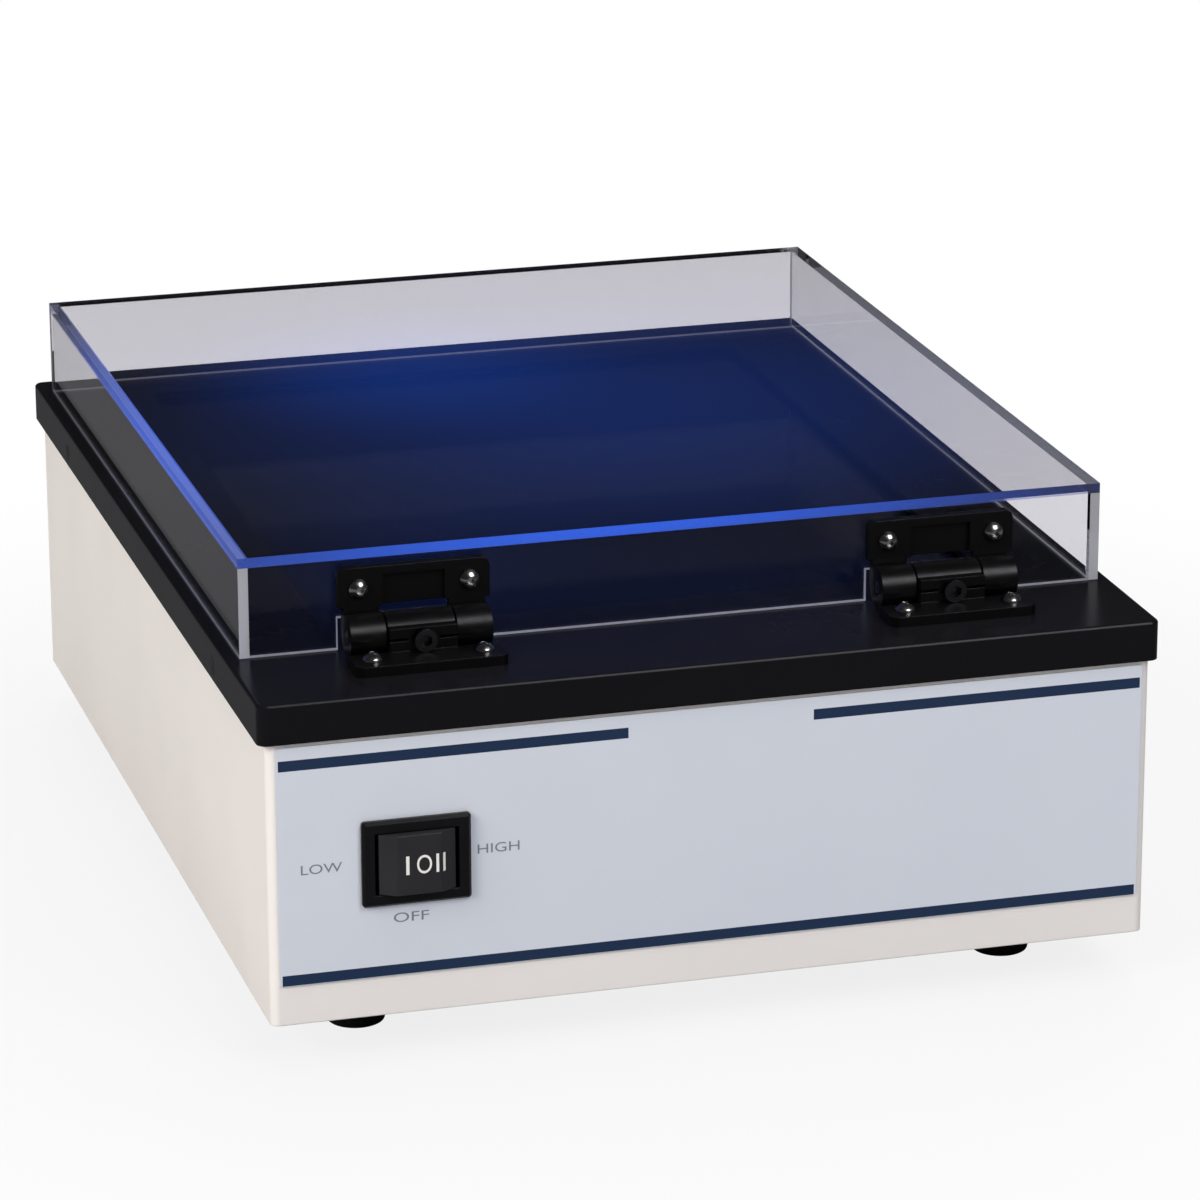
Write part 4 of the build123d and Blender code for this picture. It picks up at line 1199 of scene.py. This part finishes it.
@dataclass
class ViewingCover:
    """Hinged cover: a shallow box of clear acrylic, its hinges and their screws.

    The fields from level to edge_on are parts of a face's normal: from which it counts as level, from which
    it faces an axis, and up to which it stands edge on. The arris goes on edges sharper than arris_from.
    """

    acrylic: float = 3.0
    notch_width: float = 44.0
    notch_height: float = 9.6
    notch_spacing: float = 160.0
    hole_spacing: float = 32.8
    hole_radius: float = 1.65
    hole_height: float = 131.2
    hole_facets: int = 24
    arris: float = 0.25
    arris_steps: int = 2
    arris_from: float = 50.0
    slack: float = 0.02
    level: float = 0.9
    facing: float = 0.5
    edge_on: float = 0.3
    panels: tuple[str, ...] = ("cover_top", "cover_left", "cover_right", "cover_front", "cover_back")

    def build(self) -> None:
        """Make the clear box and dress the hinges."""
        self.clear_box()
        dress_all(("hinge_base_left", "hinge_base_right", "hinge_leaf_left", "hinge_leaf_right"), Paint.hinge)
        dress_all(("hinge_pin_left", "hinge_pin_right"), Paint.screw)
        dress_all(("hinge_adjuster_left", "hinge_adjuster_right"), Paint.adjuster)
        dress("hinge_cover_nuts", Paint.screw)
        ScrewSet("hinge_cover_screws", "cover", Facing.FRONT, ScrewKind.HINGE_BUTTON).build()
        ScrewSet("hinge_base_screws", "base", Facing.UP, ScrewKind.HINGE_BUTTON).build()

    def clear_box(self) -> None:
        """Model the five cemented sheets as one clear body."""
        low, high = corners([corner for panel in self.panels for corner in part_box(panel)])
        sheet = self.acrylic * MM
        shell = self.solid("cover_shell_work", low, high)
        cutters = self.cutters(low, high, sheet)
        for cutter in cutters:
            cut = shell.modifiers.new("cut", "BOOLEAN")
            cut.operation = "DIFFERENCE"
            cut.solver = "EXACT"
            cut.object = cutter
        mesh = baked(shell)
        for spent in [shell, *cutters]:
            bpy.data.objects.remove(spent)
        self.score(mesh, low, high, sheet)
        final = self.eased(mesh)
        final.materials.clear()
        piece = link_mesh("cover_acrylic_box", final, [kind.value for kind in SheetFace])
        self.sort_faces(final, low, high, sheet)
        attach(piece, "cover")
        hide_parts(*self.panels)
        log.info("made %s with %d faces", piece.name, len(final.polygons))

    def cutters(self, low: Vector, high: Vector, sheet: float) -> list[bpy.types.Object]:
        """Make the working shapes that hollow the box and open its front for the hinges.

        Args:
            low: lowest corner of the box.
            high: its highest corner.
            sheet: thickness of a sheet, in metres.

        Returns:
            The hollow, and each hinge's notch and two screw holes.
        """
        inner_low = low + Vector((sheet, sheet, -sheet))
        inner_high = high - Vector((sheet, sheet, sheet))
        made = [self.solid("cover_hollow_work", inner_low, inner_high)]
        half = self.notch_width / 2 * MM
        top = low.z + self.notch_height * MM
        for side in (-1, 1):
            middle = side * self.notch_spacing / 2 * MM
            made.append(self.solid(
                "cover_notch_work",
                Vector((middle - half, low.y - sheet, low.z - sheet)),
                Vector((middle + half, low.y + 2 * sheet, top)),
            ))
            for end in (-1, 1):
                x = middle + end * self.hole_spacing / 2 * MM
                made.append(self.bore(Vector((x, low.y + sheet / 2, self.hole_height * MM)), 3 * sheet))
        return made

    def eased(self, mesh: bpy.types.Mesh) -> bpy.types.Mesh:
        """Take the sharpness off the edges, as a scraper does.

        Args:
            mesh: the cut box, which is used up.

        Returns:
            The mesh with a narrow rounded edge.
        """
        edged = link_mesh("cover_edged_work", mesh)
        arris = edged.modifiers.new("arris", "BEVEL")
        arris.width = self.arris * MM
        arris.segments = self.arris_steps
        arris.limit_method = "ANGLE"
        arris.angle_limit = math.radians(self.arris_from)
        final = baked(edged)
        bpy.data.objects.remove(edged)
        return final

    @staticmethod
    def solid(name: str, low: Vector, high: Vector) -> bpy.types.Object:
        """Make a box between two corners, as a working shape.

        Args:
            name: name of the working shape.
            low: its lowest corner.
            high: its highest corner.

        Returns:
            The box.
        """
        work = bmesh.new()
        bmesh.ops.create_cube(work, size=1.0)
        for vert in work.verts:
            share = vert.co + Vector((0.5, 0.5, 0.5))
            vert.co = Vector([low[axis] + share[axis] * (high[axis] - low[axis]) for axis in range(3)])
        mesh = bpy.data.meshes.new(name)
        work.to_mesh(mesh)
        work.free()
        return link_mesh(name, mesh)

    def bore(self, centre: Vector, length: float) -> bpy.types.Object:
        """Make a round bar along the depth, as a working shape.

        Args:
            centre: its middle.
            length: its length, in metres.

        Returns:
            The bar.
        """
        work = bmesh.new()
        radius = self.hole_radius * MM
        bmesh.ops.create_cone(
            work, cap_ends=True, segments=self.hole_facets, radius1=radius, radius2=radius, depth=length,
            matrix=Matrix.Translation(centre) @ Matrix.Rotation(math.radians(90.0), 4, "X"),
        )
        mesh = bpy.data.meshes.new("cover_bore_work")
        work.to_mesh(mesh)
        work.free()
        return link_mesh("cover_bore_work", mesh)

    @staticmethod
    def score(mesh: bpy.types.Mesh, low: Vector, high: Vector, sheet: float) -> None:
        """Divide the outer faces along the cement lines, so that each sheet's edge is a face of its own.

        Args:
            mesh: the clear box.
            low: its lowest corner.
            high: its highest corner.
            sheet: thickness of a sheet, in metres.
        """
        work = bmesh.new()
        work.from_mesh(mesh)
        across, upwards = Vector((1.0, 0.0, 0.0)), Vector((0.0, 0.0, 1.0))
        lines = (
            (Vector((0.0, 0.0, high.z - sheet)), upwards),
            (Vector((low.x + sheet, 0.0, 0.0)), across),
            (Vector((high.x - sheet, 0.0, 0.0)), across),
        )
        for point, normal in lines:
            everything = [*work.verts, *work.edges, *work.faces]
            bmesh.ops.bisect_plane(work, geom=everything, dist=SCORE_MM * MM, plane_co=point, plane_no=normal)
        work.to_mesh(mesh)
        work.free()

    def sort_faces(self, mesh: bpy.types.Mesh, low: Vector, high: Vector, sheet: float) -> None:
        """Give the faces, lit edges, cut edges and ground edges of the sheets their materials.

        Args:
            mesh: the clear box.
            low: its lowest corner.
            high: its highest corner.
            sheet: thickness of a sheet, in metres.
        """
        kinds = list(SheetFace)
        slack = self.slack * MM
        for face in mesh.polygons:
            centre, normal = face.center, face.normal
            face.use_smooth = False
            in_front_wall = low.y + slack < centre.y < low.y + sheet + slack
            under = normal.z < -self.facing and centre.z < low.z + sheet
            notch = in_front_wall and abs(normal.y) < self.edge_on and abs(centre.x) < high.x - 2 * sheet
            end = abs(centre.x) > high.x - sheet and abs(normal.y) > self.facing
            if centre.z > high.z - sheet - slack:
                over_left_wall = centre.x < low.x + sheet
                clear = abs(normal.z) > self.level and not over_left_wall
                kind = SheetFace.TOP if clear else SheetFace.LIT
            elif under or notch:
                kind = SheetFace.GROUND
            else:
                kind = SheetFace.CUT if end else SheetFace.WALL
            face.material_index = kinds.index(kind)


@dataclass
class LampBay:
    """Filter, lamps and everything that the housing hides."""

    lamps: int = 6
    ballasts: int = 3

    def build(self) -> None:
        """Dress the inner pieces."""
        dress("filter_glass", Paint.filter_glass)
        dress("filter_gasket", Paint.foam)
        dress("filter_clips", Paint.spring)
        dress_all((f"uv_tube_{number}" for number in range(1, self.lamps + 1)), Paint.lamp_glass)
        dress_all((f"ballast_{number}" for number in range(1, self.ballasts + 1)), Paint.white_moulding)
        dress_all(("lampholders_front", "lampholders_rear"), Paint.white_moulding)
        dress_all(("tube_caps", "lamp_reflector"), Paint.aluminium)
        dress("lamp_bridge", Paint.zinc)
        dress_all(("tray_screws", "panel_nuts"), Paint.screw)
        dress("terminal_block", Paint.inlet)
        dress("earth_stud", Paint.brass)


@dataclass
class RearServices:
    """Mains inlet with its fuse, and the cooling fan."""

    def build(self) -> None:
        """Dress the back panel's pieces."""
        dress_all(("mains_inlet", "fuse_drawer"), Paint.inlet)
        dress("inlet_blades", Paint.brass)
        dress("fuse", Paint.fuse_glass)
        dress_all(("fan_frame", "fan_rotor"), Paint.fan)
        dress_all(("inlet_screws", "fan_screws"), Paint.screw)


@dataclass
class SoftBox:
    """One square studio lamp that points at the instrument. It is never seen through the acrylic."""

    name: str
    place: tuple[float, float, float]
    side: float
    watts: float
    colour: str = "FFFFFF"
    in_reflections: bool = False

    def build(self, target: Vector) -> None:
        """Hang the lamp and aim it.

        Args:
            target: the point that it faces.
        """
        light = bpy.data.lights.new(self.name, "AREA")
        light.shape = "SQUARE"
        light.size = self.side
        light.energy = self.watts
        light.color = linear(self.colour)[:3]
        lamp = bpy.data.objects.new(self.name, light)
        lamp.location = self.place
        lamp.visible_glossy = self.in_reflections
        lamp.visible_transmission = False
        lamp.rotation_euler = (target - lamp.location).to_track_quat("-Z", "Y").to_euler()
        bpy.context.scene.collection.objects.link(lamp)


@dataclass
class Studio:
    """Pale round floor, soft lamps, dark surround and the camera.

    Only the front fill shows in mirrored rays, and the floor is dimmed there. Otherwise a grey haze and
    white squares lie over the black plate and the cover.
    """

    floor_radius: float = 6.0
    floor_facets: int = 96
    floor_colour: str = "B4B4B8"
    floor_in_gloss: float = 0.2
    white_near: float = 0.84
    white_from: float = 0.2
    white_to: float = 0.45
    surround: float = 0.02
    lamps: tuple[SoftBox, ...] = (
        SoftBox("key_left", place=(-2.4, -1.1, 1.5), side=1.8, watts=92.0, colour="FFFBF7"),
        SoftBox("top", place=(0.2, 0.2, 2.4), side=2.2, watts=44.0),
        SoftBox(
            "fill_front", place=(1.1, -2.2, 2.2), side=1.5, watts=52.0, colour="FAFBFF", in_reflections=True),
        SoftBox("fill_back", place=(1.2, 2.8, 1.4), side=1.8, watts=62.0, colour="FFFDFA"),
    )
    eye: tuple[float, float, float] = (-0.4402, -1.5952, 0.6196)
    azimuth: float = -15.87
    elevation: float = 18.15
    roll: float = -0.19
    lens: float = 165.3
    sensor: float = 36.0
    farthest: float = 50.0
    target: Vector = field(default_factory=lambda: Vector((0.0, 0.0, 0.07)))

    def build(self) -> None:
        """Set up the floor, lamps, world and camera."""
        self.floor()
        for lamp in self.lamps:
            lamp.build(self.target)
        self.world()
        self.camera()
        view = bpy.context.scene.view_settings
        view.view_transform = "Standard"
        log.info("studio is ready")

    def floor(self) -> None:
        """Lay a round floor under the instrument."""
        work = bmesh.new()
        bmesh.ops.create_circle(work, cap_ends=True, segments=self.floor_facets, radius=self.floor_radius)
        mesh = bpy.data.meshes.new("floor")
        work.to_mesh(mesh)
        work.free()
        if mesh.polygons[0].normal.z < 0:
            mesh.flip_normals()
        floor = link_mesh("floor", mesh)
        floor.data.materials.append(self.floor_material())

    def floor_material(self) -> bpy.types.Material:
        """Matt pale paper that the camera sees go to plain white away from the instrument.

        It is white through the acrylic as well, and dimmed wherever a ray has been mirrored.

        Returns:
            The floor's material.
        """
        made = bpy.data.materials.new("pale_backdrop_paper")
        made.use_nodes = True
        tree = made.node_tree
        tree.nodes.clear()
        place = add_node(tree, "ShaderNodeTexCoord").outputs["Object"]
        paper = add_node(tree, "ShaderNodeBsdfDiffuse", {"Color": linear(self.floor_colour)})
        white = add_node(tree, "ShaderNodeEmission", {"Color": WHITE, "Strength": 1.0})
        dark = add_node(tree, "ShaderNodeEmission", {"Strength": 0.0})
        ray = add_node(tree, "ShaderNodeLightPath").outputs
        # Any mirrored bounce counts, so the threshold lies between none and one.
        mirrored = add_node(
            tree, "ShaderNodeMath", {"operation": "GREATER_THAN", 1: 0.5}, {0: ray["Glossy Depth"]})
        seen = add_node(
            tree, "ShaderNodeMath", {"operation": "MAXIMUM"},
            {0: ray["Is Camera Ray"], 1: ray["Is Transmission Ray"]},
        )
        direct = add_node(
            tree, "ShaderNodeMath", {"operation": "SUBTRACT", "use_clamp": True},
            {0: seen.outputs["Value"], 1: mirrored.outputs["Value"]},
        )
        away = add_node(tree, "ShaderNodeVectorMath", {"operation": "LENGTH"}, {0: place})
        share = add_node(
            tree, "ShaderNodeMapRange",
            {"interpolation_type": "SMOOTHSTEP", "From Min": self.white_from, "From Max": self.white_to,
             "To Min": self.white_near, "To Max": 1.0},
            {"Value": away.outputs["Value"]},
        )
        whiteness = add_node(
            tree, "ShaderNodeMath", {"operation": "MULTIPLY"},
            {0: direct.outputs["Value"], 1: share.outputs["Result"]},
        )
        floor = add_node(
            tree, "ShaderNodeMixShader",
            links={0: whiteness.outputs["Value"], 1: paper.outputs["BSDF"], 2: white.outputs["Emission"]},
        )
        hidden = add_node(
            tree, "ShaderNodeMath", {"operation": "MULTIPLY", 1: 1.0 - self.floor_in_gloss},
            {0: mirrored.outputs["Value"]},
        )
        dimmed = add_node(
            tree, "ShaderNodeMixShader",
            links={0: hidden.outputs["Value"], 1: floor.outputs["Shader"], 2: dark.outputs["Emission"]},
        )
        add_node(tree, "ShaderNodeOutputMaterial", links={"Surface": dimmed.outputs["Shader"]})
        return made

    def world(self) -> None:
        """Set a dark surround, as in a black studio, behind a backdrop that the camera sees as white."""
        world = bpy.data.worlds.new("studio_surround")
        world.use_nodes = True
        tree = world.node_tree
        tree.nodes.clear()
        grey = (self.surround, self.surround, self.surround, 1.0)
        ray = add_node(tree, "ShaderNodeLightPath")
        colour = add_node(
            tree, "ShaderNodeMix", {"data_type": "RGBA", 6: grey, 7: WHITE},
            {0: ray.outputs["Is Camera Ray"]},
        )
        background = add_node(tree, "ShaderNodeBackground", {"Strength": 1.0}, {"Color": colour.outputs[2]})
        add_node(tree, "ShaderNodeOutputWorld", links={"Surface": background.outputs["Background"]})
        bpy.context.scene.world = world

    def camera(self) -> None:
        """Place the camera where the photograph was taken from."""
        data = bpy.data.cameras.new("camera")
        data.lens = self.lens
        data.sensor_width = self.sensor
        data.clip_end = self.farthest
        camera = bpy.data.objects.new("camera", data)
        turn, lift = math.radians(self.azimuth), math.radians(self.elevation)
        back = Vector((math.sin(turn) * math.cos(lift), -math.cos(turn) * math.cos(lift), math.sin(lift)))
        aim = (-back).to_track_quat("-Z", "Y").to_matrix().to_4x4()
        level = Matrix.Rotation(math.radians(self.roll), 4, "Z")
        camera.matrix_world = Matrix.Translation(Vector(self.eye)) @ aim @ level
        bpy.context.scene.collection.objects.link(camera)
        bpy.context.scene.camera = camera


def main() -> None:
    """Build every sub-assembly in order."""
    logging.basicConfig(level=logging.INFO, format="%(name)s: %(message)s")
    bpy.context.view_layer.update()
    steps: tuple[Callable[[], None], ...] = (
        Studio().build, Enclosure().build, ControlSwitch().build, ViewingCover().build, LampBay().build,
        RearServices().build,
    )
    for step in steps:
        step()


if __name__ == "__main__":
    main()
